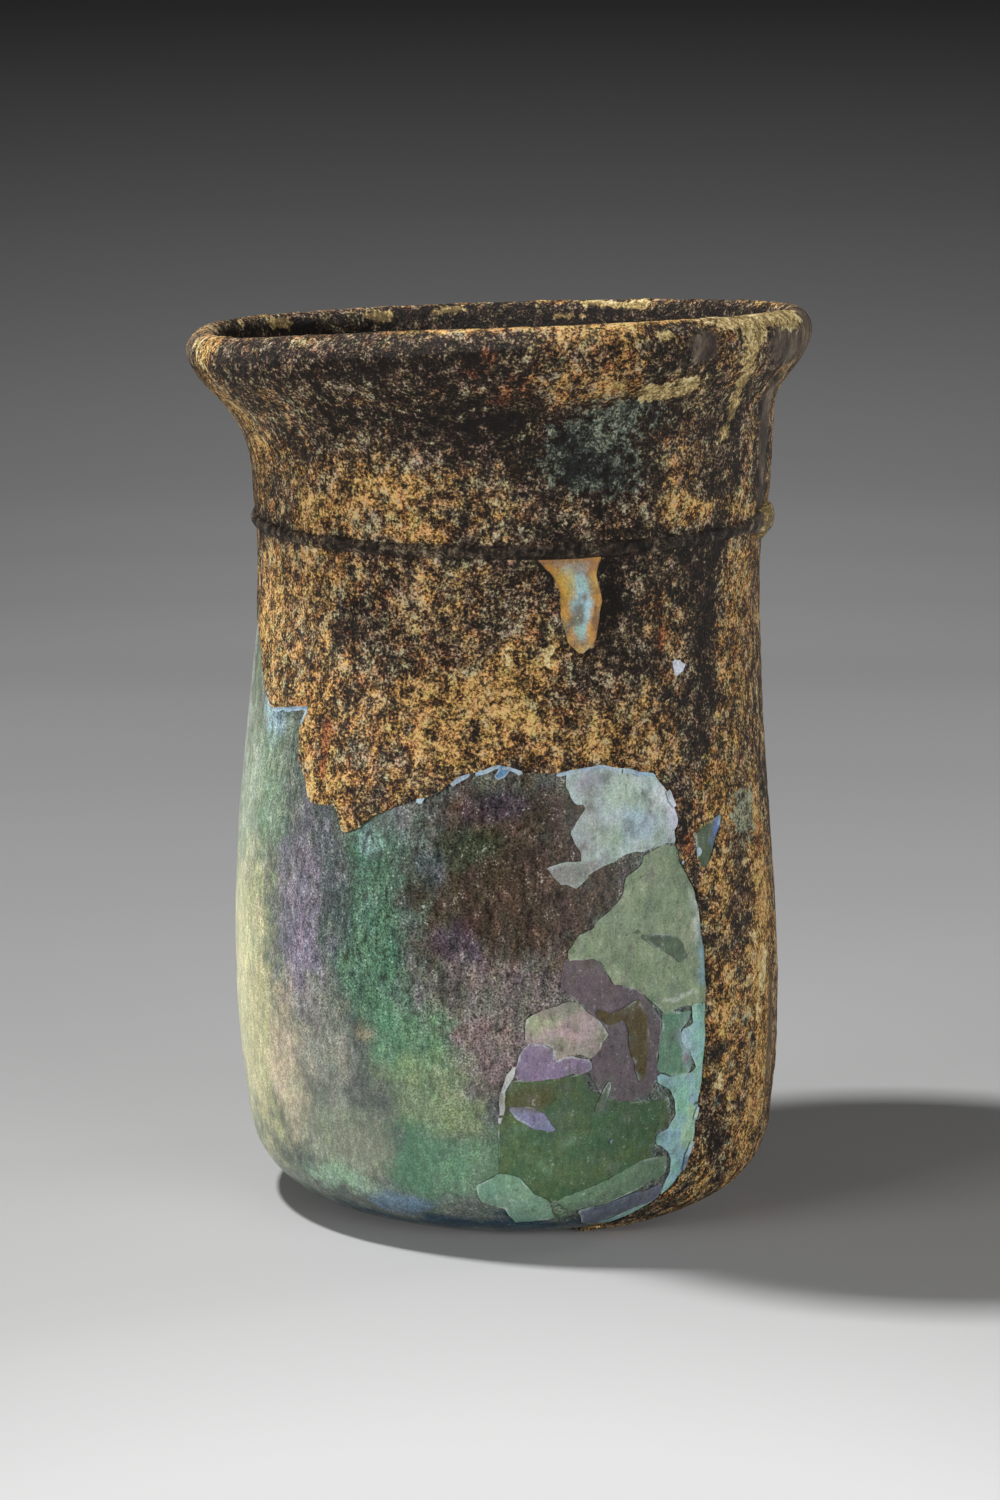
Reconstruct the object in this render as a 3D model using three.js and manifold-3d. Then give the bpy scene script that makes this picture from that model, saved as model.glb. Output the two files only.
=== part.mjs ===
// Ancient blown glass beaker, in millimetres, +Z up, standing on its base at the origin.
// One gather of glass was blown into a waisted tube, its rim was flared and rounded in the fire,
// and one thread of hot glass was wound round the neck, where it fused on. So it is one solid.
// Seen from the front, along +Y, the thread's two ends overlap in a small knob at the right.
import * as THREE from 'three';
import { mergeVertices } from 'three/addons/utils/BufferGeometryUtils.js';
import Module from 'manifold-3d';

// The whole vessel
const HEIGHT = 100;
const WALL = 2.2;
const FLOOR = 4;

// Outer radii from the base to the rim
const FOOT_RADIUS = 19.4;
const HEEL_RADIUS = 30.2;
const BELLY_RADIUS = 31.2;
const WAIST_RADIUS = 28.2;
const NECK_RADIUS = 28.85;
const RIM_RADIUS = 34.9;

// The rounded heel and the fire-rounded lip
const HEEL_HEIGHT = 10;
const LIP_OUTER_WIDTH = 2.5;
const LIP_INNER_WIDTH = 1.3;
const LIP_RISE = 2.9;

// The wound thread: its own radius, how far it stands proud, and its slant across the neck
const THREAD_HEIGHT = 77.9;
const THREAD_RADIUS = 0.9;
const THREAD_PROUD = 0.45;
const THREAD_SLANT = 1.6;
const KNOB_LENGTH = 6.4;
const KNOB_HEIGHT = 4;
const KNOB_PROUD = 1.3;
const KNOB_ANGLE = -14;

// What the hand and the heat left uneven: the axis wanders, the rim leans and sags at the left
const RIM_LEAN = 1.79;
const RIM_SAG = 0.9;
const RIM_SAG_ANGLE = 205;
const RIM_SAG_SPREAD = 30;

// Facets
const AROUND = 64;
const HEEL_STEPS = 6;
const SIDE_STEPS = 18;
const LIP_STEPS = 5;
const THREAD_SIDES = 8;
const KNOB_SEGMENTS = 12;
const KNOB_RINGS = 8;

const degrees = THREE.MathUtils.degToRad;
const seat = HEIGHT - LIP_RISE;

// The outer side as a smooth curve through its stations, each a radius and a share of the
// straight stretch between the heel and the lip
const span = seat - HEEL_HEIGHT;
const flare = RIM_RADIUS - NECK_RADIUS;
const swell = BELLY_RADIUS - WAIST_RADIUS;
const stations = [
  [HEEL_RADIUS, 0],
  [BELLY_RADIUS - 0.1 * swell, 0.08],
  [BELLY_RADIUS, 0.2],
  [BELLY_RADIUS - 0.24 * swell, 0.37],
  [BELLY_RADIUS - 0.67 * swell, 0.54],
  [WAIST_RADIUS, 0.7],
  [NECK_RADIUS, 0.8],
  [NECK_RADIUS + 0.1 * flare, 0.88],
  [NECK_RADIUS + 0.33 * flare, 0.93],
  [NECK_RADIUS + 0.8 * flare, 0.97],
  [RIM_RADIUS, 1],
];
const side = new THREE.SplineCurve(
  stations.map(([radius, share]) => new THREE.Vector2(radius, HEEL_HEIGHT + share * span)),
);

// The wall is even up to the neck, then widens to the lip's whole width
function wallAt(height) {
  const share = THREE.MathUtils.smoothstep((height - HEEL_HEIGHT) / span, 0.84, 1);
  return THREE.MathUtils.lerp(WALL, LIP_OUTER_WIDTH + LIP_INNER_WIDTH, share);
}

// Points along a quarter of an ellipse, from one angle to another in quarter turns
function quarter(centre, width, rise, from, to, steps) {
  return Array.from({ length: steps + 1 }, (_, step) => {
    const angle = THREE.MathUtils.lerp(from, to, step / steps) * Math.PI / 2;
    return new THREE.Vector2(
      centre.x + width * Math.cos(angle),
      centre.y + rise * Math.sin(angle),
    );
  });
}

// The closed section of the wall, from the middle of the base round the lip to the floor inside
function wallSection() {
  const outer = side.getPoints(SIDE_STEPS);
  const heelCentre = new THREE.Vector2(FOOT_RADIUS, HEEL_HEIGHT);
  const heelWidth = HEEL_RADIUS - FOOT_RADIUS;
  const heel = quarter(heelCentre, heelWidth, HEEL_HEIGHT, -1, 0, HEEL_STEPS).slice(0, -1);
  const crest = new THREE.Vector2(RIM_RADIUS - LIP_OUTER_WIDTH, seat);
  const lip = [
    ...quarter(crest, LIP_OUTER_WIDTH, LIP_RISE, 0, 1, LIP_STEPS).slice(1),
    ...quarter(crest, LIP_INNER_WIDTH, LIP_RISE, 1, 2, LIP_STEPS).slice(1, -1),
  ];
  const inner = outer.map((point) => new THREE.Vector2(point.x - wallAt(point.y), point.y));
  const innerHeelTop = inner.findIndex((point) => point.y > HEEL_HEIGHT + FLOOR);
  const turn = inner[innerHeelTop];
  const innerFoot = new THREE.Vector2(FOOT_RADIUS - WALL / 2, turn.y);
  const innerHeel = quarter(innerFoot, turn.x - innerFoot.x, turn.y - FLOOR, 0, -1, HEEL_STEPS);
  return [
    new THREE.Vector2(0, 0),
    ...heel,
    ...outer,
    ...lip,
    ...inner.slice(innerHeelTop).reverse(),
    ...innerHeel.slice(1),
    new THREE.Vector2(0, FLOOR),
  ];
}

// The outer radius at a height of the side
const sidePoints = side.getPoints(400);
function radiusAt(height) {
  const after = Math.max(1, sidePoints.findIndex((point) => point.y >= height));
  const [low, high] = [sidePoints[after - 1], sidePoints[after]];
  return THREE.MathUtils.mapLinear(height, low.y, high.y, low.x, high.x);
}

// The thread's height at an angle round the neck: lowest in front, highest behind
const threadHeightAt = (angle) => THREAD_HEIGHT + THREAD_SLANT * Math.sin(angle);

// The thread as a closed ring with a round section, sunk in the wall but for its proud part
function threadRing() {
  const points = Array.from({ length: AROUND }, (_, step) => {
    const angle = (step + 0.5) / AROUND * 2 * Math.PI;
    const height = threadHeightAt(angle);
    const radius = radiusAt(height) + THREAD_PROUD - THREAD_RADIUS;
    return new THREE.Vector3(radius * Math.cos(angle), radius * Math.sin(angle), height);
  });
  const section = new THREE.Shape().absarc(0, 0, THREAD_RADIUS, 0, 2 * Math.PI);
  return new THREE.ExtrudeGeometry(section, {
    steps: AROUND,
    curveSegments: THREAD_SIDES / 2,
    extrudePath: new THREE.CatmullRomCurve3(points, true),
  });
}

// The knob where the thread's ends overlap: a flattened bead, half sunk in the wall
function threadKnob() {
  const angle = degrees(KNOB_ANGLE);
  const height = threadHeightAt(angle);
  const bead = new THREE.SphereGeometry(1, KNOB_SEGMENTS, KNOB_RINGS);
  bead.scale(KNOB_PROUD, KNOB_LENGTH / 2, KNOB_HEIGHT / 2);
  bead.translate(radiusAt(height), 0, 0);
  bead.rotateZ(angle);
  bead.translate(0, 0, height);
  return bead;
}

const wasm = await Module();
wasm.setup();

// A closed geometry as a solid, with its shared corners merged
function solid(geometry) {
  geometry.deleteAttribute('normal');
  geometry.deleteAttribute('uv');
  const merged = mergeVertices(geometry, 1e-4);
  return new wasm.Manifold(new wasm.Mesh({
    numProp: 3,
    vertProperties: new Float32Array(merged.attributes.position.array),
    triVerts: new Uint32Array(merged.index.array),
  }));
}

// The vessel is turned about Y by the lathe, so it is stood up along +Z
const turned = new THREE.LatheGeometry(wallSection(), AROUND);
turned.rotateX(Math.PI / 2);
const fused = solid(turned).add(solid(threadRing())).add(solid(threadKnob())).getMesh();

// How far the axis stands to the right of the rim's, by share of the height
const drift = new THREE.SplineCurve([
  new THREE.Vector2(1.3, 0),
  new THREE.Vector2(0.8, 0.2),
  new THREE.Vector2(0.35, 0.45),
  new THREE.Vector2(1, 0.7),
  new THREE.Vector2(1.35, 0.82),
  new THREE.Vector2(1.05, 0.87),
  new THREE.Vector2(0.15, 0.92),
  new THREE.Vector2(-0.05, 1),
]);
const driftPoints = drift.getPoints(400);
function driftAt(share) {
  const after = Math.max(1, driftPoints.findIndex((point) => point.y >= Math.min(share, 1)));
  const [low, high] = [driftPoints[after - 1], driftPoints[after]];
  return THREE.MathUtils.mapLinear(Math.min(share, 1), low.y, high.y, low.x, high.x);
}

// Every point moves with the wandering axis; above the waist it also leans and sags
function unevenPoint(x, y, z) {
  const share = z / HEIGHT;
  const upper = THREE.MathUtils.clamp((share - 0.72) / 0.28, 0, 1);
  const across = x + driftAt(share);
  const fromSag = THREE.MathUtils.euclideanModulo(
    Math.atan2(y, x) - degrees(RIM_SAG_ANGLE) + Math.PI,
    2 * Math.PI,
  ) - Math.PI;
  const sag = RIM_SAG * Math.exp(-((fromSag / degrees(RIM_SAG_SPREAD)) ** 2));
  return [across, y, z + upper * (across * Math.tan(degrees(RIM_LEAN)) - sag)];
}

const positions = [];
for (let corner = 0; corner < fused.vertProperties.length; corner += 3) {
  positions.push(...unevenPoint(...fused.vertProperties.slice(corner, corner + 3)));
}
const vessel = new THREE.BufferGeometry();
vessel.setAttribute('position', new THREE.Float32BufferAttribute(positions, 3));
vessel.setIndex(Array.from(fused.triVerts));

// The middle of the vessel's box stands over the origin
vessel.computeBoundingBox();
const middle = vessel.boundingBox.getCenter(new THREE.Vector3());
vessel.translate(-middle.x, -middle.y, 0);
vessel.computeVertexNormals();

const weatheredGlass = new THREE.MeshStandardMaterial({
  color: '#6e5a3c',
  roughness: 0.55,
  metalness: 0,
});
const beaker = new THREE.Mesh(vessel, weatheredGlass);
beaker.name = 'beaker';

const object = new THREE.Group();
object.add(beaker);
export default object;
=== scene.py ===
import math

import bpy
import numpy as np
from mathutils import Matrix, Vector


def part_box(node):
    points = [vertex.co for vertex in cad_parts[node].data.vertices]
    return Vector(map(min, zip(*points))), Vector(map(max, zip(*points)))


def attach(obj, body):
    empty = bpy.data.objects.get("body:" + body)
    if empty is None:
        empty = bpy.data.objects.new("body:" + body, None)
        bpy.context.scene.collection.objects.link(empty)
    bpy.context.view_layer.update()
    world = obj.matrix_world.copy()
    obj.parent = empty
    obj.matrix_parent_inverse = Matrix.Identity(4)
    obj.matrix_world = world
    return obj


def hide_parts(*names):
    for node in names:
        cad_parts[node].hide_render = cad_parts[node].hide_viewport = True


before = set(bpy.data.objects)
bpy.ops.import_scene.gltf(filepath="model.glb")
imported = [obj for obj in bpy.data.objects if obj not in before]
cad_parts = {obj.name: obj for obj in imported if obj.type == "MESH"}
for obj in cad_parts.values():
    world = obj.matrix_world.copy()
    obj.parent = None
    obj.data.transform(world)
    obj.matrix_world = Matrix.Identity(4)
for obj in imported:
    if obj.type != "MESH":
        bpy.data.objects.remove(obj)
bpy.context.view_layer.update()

# The camera: a long lens on an upright frame, 0.41 m from the vessel and looking down 9.5 degrees
# at the middle of its height. All lengths in this file are in millimetres until they reach Blender.
MM = 0.001
CAMERA_LENS = 86.4
CAMERA_SENSOR = 36
CAMERA_DISTANCE = 409.2
CAMERA_PITCH = math.radians(9.5)
CAMERA_TARGET = Vector((0.085, 0, 50.6))

camera = bpy.data.objects.new("camera", bpy.data.cameras.new("camera"))
camera.data.lens = CAMERA_LENS
camera.data.sensor_fit = "VERTICAL"
camera.data.sensor_height = CAMERA_SENSOR
camera.data.clip_start = 0.01
away = Vector((0, -math.cos(CAMERA_PITCH), math.sin(CAMERA_PITCH)))
camera.location = (CAMERA_TARGET + CAMERA_DISTANCE * away) * MM
camera.rotation_euler = (math.pi / 2 - CAMERA_PITCH, 0, 0)
bpy.context.scene.collection.objects.link(camera)
bpy.context.scene.camera = camera
bpy.context.scene.view_settings.view_transform = "Standard"

# The glass wall: one gather of soda-lime glass, blown into a waisted tube, its rim flared and
# rounded in the fire. It carries the weathering crust, and shows bare where that has flaked off.
HEIGHT = 100
WALL = 2.2
FLOOR = 4
FOOT_RADIUS = 19.4
HEEL_RADIUS = 30.2
BELLY_RADIUS = 31.2
WAIST_RADIUS = 28.2
NECK_RADIUS = 28.85
RIM_RADIUS = 34.9
HEEL_HEIGHT = 10
LIP_OUTER_WIDTH = 2.5
LIP_INNER_WIDTH = 1.3
LIP_RISE = 2.9
RIM_LEAN = math.radians(1.79)
RIM_SAG = 0.9
RIM_SAG_ANGLE = math.radians(205)
RIM_SAG_SPREAD = math.radians(30)

CRUST = 0.4
LINING = 0.25
GLASS_FINE_STEP = 0.42
GLASS_COARSE_STEP = 1.5
MM_PER_DEGREE = math.radians(1) * (HEEL_RADIUS + WAIST_RADIUS) / 2


def spline(stations, count):
    """A smooth curve through the stations: between two of them a cubic whose slope at each one is
    half the way from the station before it to the one after."""
    ends = np.vstack([stations[:1], stations, stations[-1:]]).astype(float)
    along = np.linspace(0, len(stations) - 1, count)
    first = np.minimum(along.astype(int), len(stations) - 2)
    share = (along - first)[:, None]
    before, start, end, after = (ends[first + step] for step in range(4))
    leave, arrive = (end - before) / 2, (after - start) / 2
    return (
        (2 * start - 2 * end + leave + arrive) * share**3
        + (3 * end - 3 * start - 2 * leave - arrive) * share**2
        + leave * share + start
    )


def quarter(centre, width, rise, start, end, count=60):
    """Points on an ellipse about the centre, from one angle to another in quarter turns."""
    angle = np.linspace(start, end, count) * math.pi / 2
    return np.stack([centre[0] + width * np.cos(angle), centre[1] + rise * np.sin(angle)], 1)


seat = HEIGHT - LIP_RISE
span = seat - HEEL_HEIGHT
flare = RIM_RADIUS - NECK_RADIUS
swell = BELLY_RADIUS - WAIST_RADIUS
outer_side = spline(np.array([
    (radius, HEEL_HEIGHT + share * span) for radius, share in [
        (HEEL_RADIUS, 0),
        (BELLY_RADIUS - 0.1 * swell, 0.08),
        (BELLY_RADIUS, 0.2),
        (BELLY_RADIUS - 0.24 * swell, 0.37),
        (BELLY_RADIUS - 0.67 * swell, 0.54),
        (WAIST_RADIUS, 0.7),
        (NECK_RADIUS, 0.8),
        (NECK_RADIUS + 0.1 * flare, 0.88),
        (NECK_RADIUS + 0.33 * flare, 0.93),
        (NECK_RADIUS + 0.8 * flare, 0.97),
        (RIM_RADIUS, 1),
    ]
]), 400)
drift = spline(np.array([
    (1.3, 0), (0.8, 0.2), (0.35, 0.45), (1, 0.7), (1.35, 0.82), (1.05, 0.87), (0.15, 0.92), (-0.05, 1),
]), 400)


def ease(share):
    """A smooth step from 0 to 1: three times the square less twice the cube."""
    share = np.clip(share, 0, 1)
    return share * share * (3 - 2 * share)


def wall_section():
    """The closed section's corner line from the middle of the base, out round the heel, up the side,
    over the lip, down the inner wall and in to the middle of the floor."""
    widening = ease(((outer_side[:, 1] - HEEL_HEIGHT) / span - 0.84) / 0.16)
    wall = WALL + (LIP_OUTER_WIDTH + LIP_INNER_WIDTH - WALL) * widening
    inner_side = outer_side - np.stack([wall, 0 * wall], 1)
    inner_side = inner_side[inner_side[:, 1] > HEEL_HEIGHT + FLOOR][::-1]
    turn = inner_side[-1]
    inner_foot = (FOOT_RADIUS - WALL / 2, turn[1])
    crest = (RIM_RADIUS - LIP_OUTER_WIDTH, seat)
    heel = quarter((FOOT_RADIUS, HEEL_HEIGHT), HEEL_RADIUS - FOOT_RADIUS, HEEL_HEIGHT, -1, 0)
    return np.vstack([
        [(0, 0)],
        heel[:-1],
        outer_side,
        quarter(crest, LIP_OUTER_WIDTH, LIP_RISE, 0, 1)[1:],
        quarter(crest, LIP_INNER_WIDTH, LIP_RISE, 1, 2)[1:-1],
        inner_side,
        quarter(inner_foot, turn[0] - inner_foot[0], turn[1] - FLOOR, 0, -1)[1:],
        [(0, FLOOR)],
    ])


def even_steps(corners, step=0.2, soften=5):
    """The corner line walked in even steps, its kinks rounded by a running mean of a few steps, with
    the length walked and the normal, which stands to the right of the way walked."""
    walked = np.concatenate([[0], np.cumsum(np.hypot(*np.diff(corners, axis=0).T))])
    run = np.linspace(0, walked[-1], int(walked[-1] / step))
    line = np.stack([np.interp(run, walked, corners[:, axis]) for axis in (0, 1)], 1)
    padded = np.pad(line, ((soften, soften), (0, 0)), mode="reflect", reflect_type="odd")
    kernel = np.full(2 * soften + 1, 1 / (2 * soften + 1))
    line = np.stack([np.convolve(padded[:, axis], kernel, "valid") for axis in (0, 1)], 1)
    slope = np.gradient(line, run, axis=0)
    normal = np.stack([slope[:, 1], -slope[:, 0]], 1)
    return run, line, normal / np.linalg.norm(normal, axis=1)[:, None]


section_run, section, section_normal = even_steps(wall_section())
crest_step = int(np.argmax(section[:, 1]))
CREST_RUN = section_run[crest_step]
FLOOR_RUN = section_run[-1]


def run_at(height):
    """The length walked along the section to a height of the outer face. Below the base, a height
    counts the way in from the foot's edge towards the middle. Above the whole height, it counts the
    way over the crest and down the inside."""
    heights = section[:crest_step, 1]
    rising = heights > 0.02
    runs = section_run[:crest_step][rising]
    return np.interp(
        height,
        np.concatenate([[-runs[0], 0], heights[rising], [HEIGHT, HEIGHT + 50]]),
        np.concatenate([[0, runs[0]], runs, [CREST_RUN, CREST_RUN + 50]]),
    )


def inner_run_at(height):
    """The length walked along the section to a height of the inner face."""
    heights, runs = section[crest_step:, 1], section_run[crest_step:]
    return np.interp(-height, -heights, runs)


def lean(across, depth, height):
    """The wandering axis moves each point sideways. Above the waist it also rises with the lean of
    the rim, by its distance to the right, and sinks in a soft dip round the sag's angle."""
    share = height / HEIGHT
    upper = np.clip((share - 0.72) / 0.28, 0, 1)
    from_sag = (np.arctan2(depth, across) - RIM_SAG_ANGLE + math.pi) % (2 * math.pi) - math.pi
    sag = RIM_SAG * np.exp(-((from_sag / RIM_SAG_SPREAD) ** 2))
    moved = across + np.interp(share, drift[:, 1], drift[:, 0])
    return np.stack([moved, depth, height + upper * (moved * math.tan(RIM_LEAN) - sag)], -1)


def place(angle, run, lift):
    """Where the section stands at that run, moved out by the lift along its normal and turned to the
    angle, in degrees from the front and positive to the viewer's right, then leaned."""
    turn = np.radians(angle - 90)
    radius = np.interp(run, section_run, section[:, 0])
    radius = radius + lift * np.interp(run, section_run, section_normal[:, 0])
    height = np.interp(run, section_run, section[:, 1])
    height = height + lift * np.interp(run, section_run, section_normal[:, 1])
    return lean(radius * np.cos(turn), radius * np.sin(turn), height) + [shift, 0, 0]


# The middle of the vessel's box stands over the origin
shift = 0
rim_turn = np.linspace(0, 360, 721)
rim_across = place(rim_turn, run_at(np.full(721, seat)), 0)[:, 0]
box_middle = sum(corner[0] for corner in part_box("beaker")) / MM / 2
shift = box_middle - (rim_across.max() + rim_across.min()) / 2


def noise(points, size, seed):
    """Gradient noise from about -1 to 1: each corner of a lattice of cubes as wide as the size has a
    slope hashed from its place, and the slopes' planes are blended across the cube."""
    spot = points / size
    cell = np.floor(spot).astype(np.int64)
    part = spot - cell
    blend = part**3 * (part * (part * 6 - 15) + 10)
    total = np.zeros(points.shape[:-1])
    for corner in np.ndindex(2, 2, 2):
        place_key = cell + corner
        key = (
            place_key[..., 0] * 73856093 ^ place_key[..., 1] * 19349663 ^ place_key[..., 2] * 83492791
        ) + seed * 6364136223
        weight = np.prod(np.where(np.array(corner, bool), blend, 1 - blend), axis=-1)
        for axis in range(3):
            mixed = (key + axis * 1442695041) & 0xFFFFFFFF
            mixed = (mixed ^ (mixed >> 16)) * 0x45D9F3B & 0xFFFFFFFF
            mixed = (mixed ^ (mixed >> 15)) * 0x2C1B3C6D & 0xFFFFFFFF
            slope = (mixed ^ (mixed >> 13)) / 0x7FFFFFFF - 1
            total += weight * slope * (part[..., axis] - corner[axis])
    return total * 1.4


def cloud(points, size, seed, octaves=4, fade=0.5):
    """Layers of noise, each half the size of the one before and fainter by the fade."""
    total = sum(fade**step * noise(points, size / 2**step, seed + step) for step in range(octaves))
    return total / sum(fade**step for step in range(octaves))


def linear(code):
    """The linear colour of an sRGB hex value."""
    share = np.array([int(code[digit:digit + 2], 16) for digit in (1, 3, 5)]) / 255
    return np.where(share <= 0.04045, share / 12.92, ((share + 0.055) / 1.055) ** 2.4)


def spots(angle, run, places):
    """The sum of soft spots, each a bell given by its angle, height, half width and half height in
    millimetres, and strength."""
    total = np.zeros(angle.shape)
    for at_angle, at_height, width, rise, strength in places:
        off = ((angle - at_angle + 180) % 360 - 180) * MM_PER_DEGREE / width
        total += strength * np.exp(-(off**2) - ((run - run_at(at_height)) / rise) ** 2)
    return total


def mesh_piece(name, points, faces, material, sharp=None, **attributes):
    """A smooth-shaded mesh object from points in millimetres and arrays of face corners. The edges
    in sharp stay crisp, and each attribute is a number or a colour for every point."""
    mesh = bpy.data.meshes.new(name)
    sizes = np.concatenate([np.full(len(group), group.shape[1]) for group in faces])
    mesh.vertices.add(len(points))
    mesh.vertices.foreach_set("co", (points * MM).astype(np.float32).ravel())
    mesh.loops.add(int(sizes.sum()))
    corners = np.concatenate([group.ravel() for group in faces])
    mesh.loops.foreach_set("vertex_index", corners.astype(np.int32))
    mesh.polygons.add(len(sizes))
    mesh.polygons.foreach_set("loop_start", (np.cumsum(sizes) - sizes).astype(np.int32))
    mesh.update(calc_edges=True)
    mesh.shade_smooth()
    if sharp is not None:
        ends = np.zeros(2 * len(mesh.edges), np.int32)
        mesh.edges.foreach_get("vertices", ends)
        ends = np.sort(ends.reshape(-1, 2).astype(np.int64), axis=1)
        wanted = np.sort(sharp.astype(np.int64), axis=1)
        crisp = np.isin(ends @ [len(points), 1], wanted @ [len(points), 1])
        mesh.attributes.new("sharp_edge", "BOOLEAN", "EDGE").data.foreach_set("value", crisp)
    for title, values in attributes.items():
        if values.ndim == 1:
            mesh.attributes.new(title, "FLOAT", "POINT").data.foreach_set("value", values.astype(np.float32))
        else:
            colour = np.column_stack([values, np.ones(len(values))]).astype(np.float32)
            mesh.attributes.new(title, "FLOAT_COLOR", "POINT").data.foreach_set("color", colour.ravel())
    mesh.validate()
    mesh.materials.append(material)
    piece = bpy.data.objects.new(name, mesh)
    bpy.context.scene.collection.objects.link(piece)
    return piece


def add_node(tree, kind, inputs=(), stops=(), **settings):
    """Adds a node with its settings, its ramp's stops, and its inputs, each a value or a link."""
    node = tree.nodes.new(kind)
    for title, value in settings.items():
        setattr(node, title, value)
    for title, value in dict(inputs).items():
        if isinstance(value, bpy.types.NodeSocket):
            tree.links.new(value, node.inputs[title])
        else:
            node.inputs[title].default_value = value
    while stops and len(node.color_ramp.elements) < len(stops):
        node.color_ramp.elements.new(1)
    for element, (position, colour) in zip(node.color_ramp.elements if stops else (), stops):
        element.position = position
        element.color = (*linear(colour), 1) if isinstance(colour, str) else (colour, colour, colour, 1)
    return node


# Bare soda-lime glass, blown and long buried: its skin has turned to thin layers that shine in
# greens and violets under a grey haze, peppered with pale pinpoint bubbles and dark pits of a
# quarter to half a millimetre. It is smooth and half glossy.
def bare_glass(name, mottle, veer, specks):
    """The buried glass's material: the tint attribute made lighter and darker by noises of several
    sizes, by up to the mottle, and turned in hue by a coloured noise, as far as the veer. Specks and
    pits lie over it where a fine noise is highest and lowest, and cover it by the specks' share.
    The calm attribute takes all of this back towards the plain tint."""
    material = bpy.data.materials.new(name)
    material.use_nodes = True
    tree = material.node_tree
    skin = tree.nodes["Principled BSDF"]
    where = add_node(tree, "ShaderNodeTexCoord").outputs["Object"]
    stretch = add_node(tree, "ShaderNodeMapping", {"Vector": where, "Scale": (1, 1, 0.5)}).outputs[0]
    noises = {
        title: add_node(tree, "ShaderNodeTexNoise", {
            "Vector": along, "Scale": 1 / (size * MM), "Detail": detail, "Roughness": 0.7,
        })
        for title, along, size, detail in (
            ("clouds", stretch, 3.4, 5), ("grain", stretch, 0.7, 4), ("bubbles", where, 0.22, 1),
            ("pits", where, 0.46, 2), ("hue", stretch, 1.7, 4),
        )
    }
    tint = add_node(tree, "ShaderNodeAttribute", attribute_name="tint").outputs["Color"]
    calm = add_node(tree, "ShaderNodeAttribute", attribute_name="calm").outputs["Fac"]
    colour = tint
    for title, depth in (("clouds", 0.8 * mottle), ("grain", 1.6 * mottle), ("bubbles", 1.7 * mottle)):
        light = add_node(tree, "ShaderNodeMapRange", {
            "Value": noises[title].outputs[0], "From Min": 0.3, "From Max": 0.7,
            "To Min": 1 - depth, "To Max": 1 + depth,
        }).outputs[0]
        colour = add_node(
            tree, "ShaderNodeVectorMath", {0: colour, "Scale": light}, operation="SCALE"
        ).outputs[0]
    turn = add_node(tree, "ShaderNodeVectorMath", {
        0: noises["hue"].outputs["Color"], 1: (veer, veer, veer), 2: (1 - veer / 2,) * 3,
    }, operation="MULTIPLY_ADD").outputs[0]
    colour = add_node(tree, "ShaderNodeVectorMath", {0: colour, 1: turn}, operation="MULTIPLY").outputs[0]
    for title, start, end, code in (("bubbles", 1.24, 1.32, "#bcc0b8"), ("pits", 0.84, 0.74, "#161613")):
        reach = add_node(tree, "ShaderNodeMath", {
            0: noises["grain"].outputs[0], 1: noises[title].outputs[0],
        }, operation="ADD").outputs[0]
        share = add_node(tree, "ShaderNodeMapRange", {
            "Value": reach, "From Min": start, "From Max": end, "To Min": 0, "To Max": specks,
        }).outputs[0]
        colour = add_node(
            tree, "ShaderNodeMix", {0: share, 6: colour, 7: (*linear(code), 1)}, data_type="RGBA"
        ).outputs[2]
    colour = add_node(tree, "ShaderNodeMix", {0: calm, 6: colour, 7: tint}, data_type="RGBA").outputs[2]
    relief = add_node(tree, "ShaderNodeBump", {
        "Height": noises["grain"].outputs[0], "Strength": 0.3, "Distance": 0.1 * MM,
    }).outputs[0]
    tree.links.new(colour, skin.inputs["Base Color"])
    tree.links.new(relief, skin.inputs["Normal"])
    skin.inputs["Roughness"].default_value = 0.3
    skin.inputs["IOR"].default_value = 1.44
    skin.inputs["Specular IOR Level"].default_value = 0.2
    return material


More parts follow.
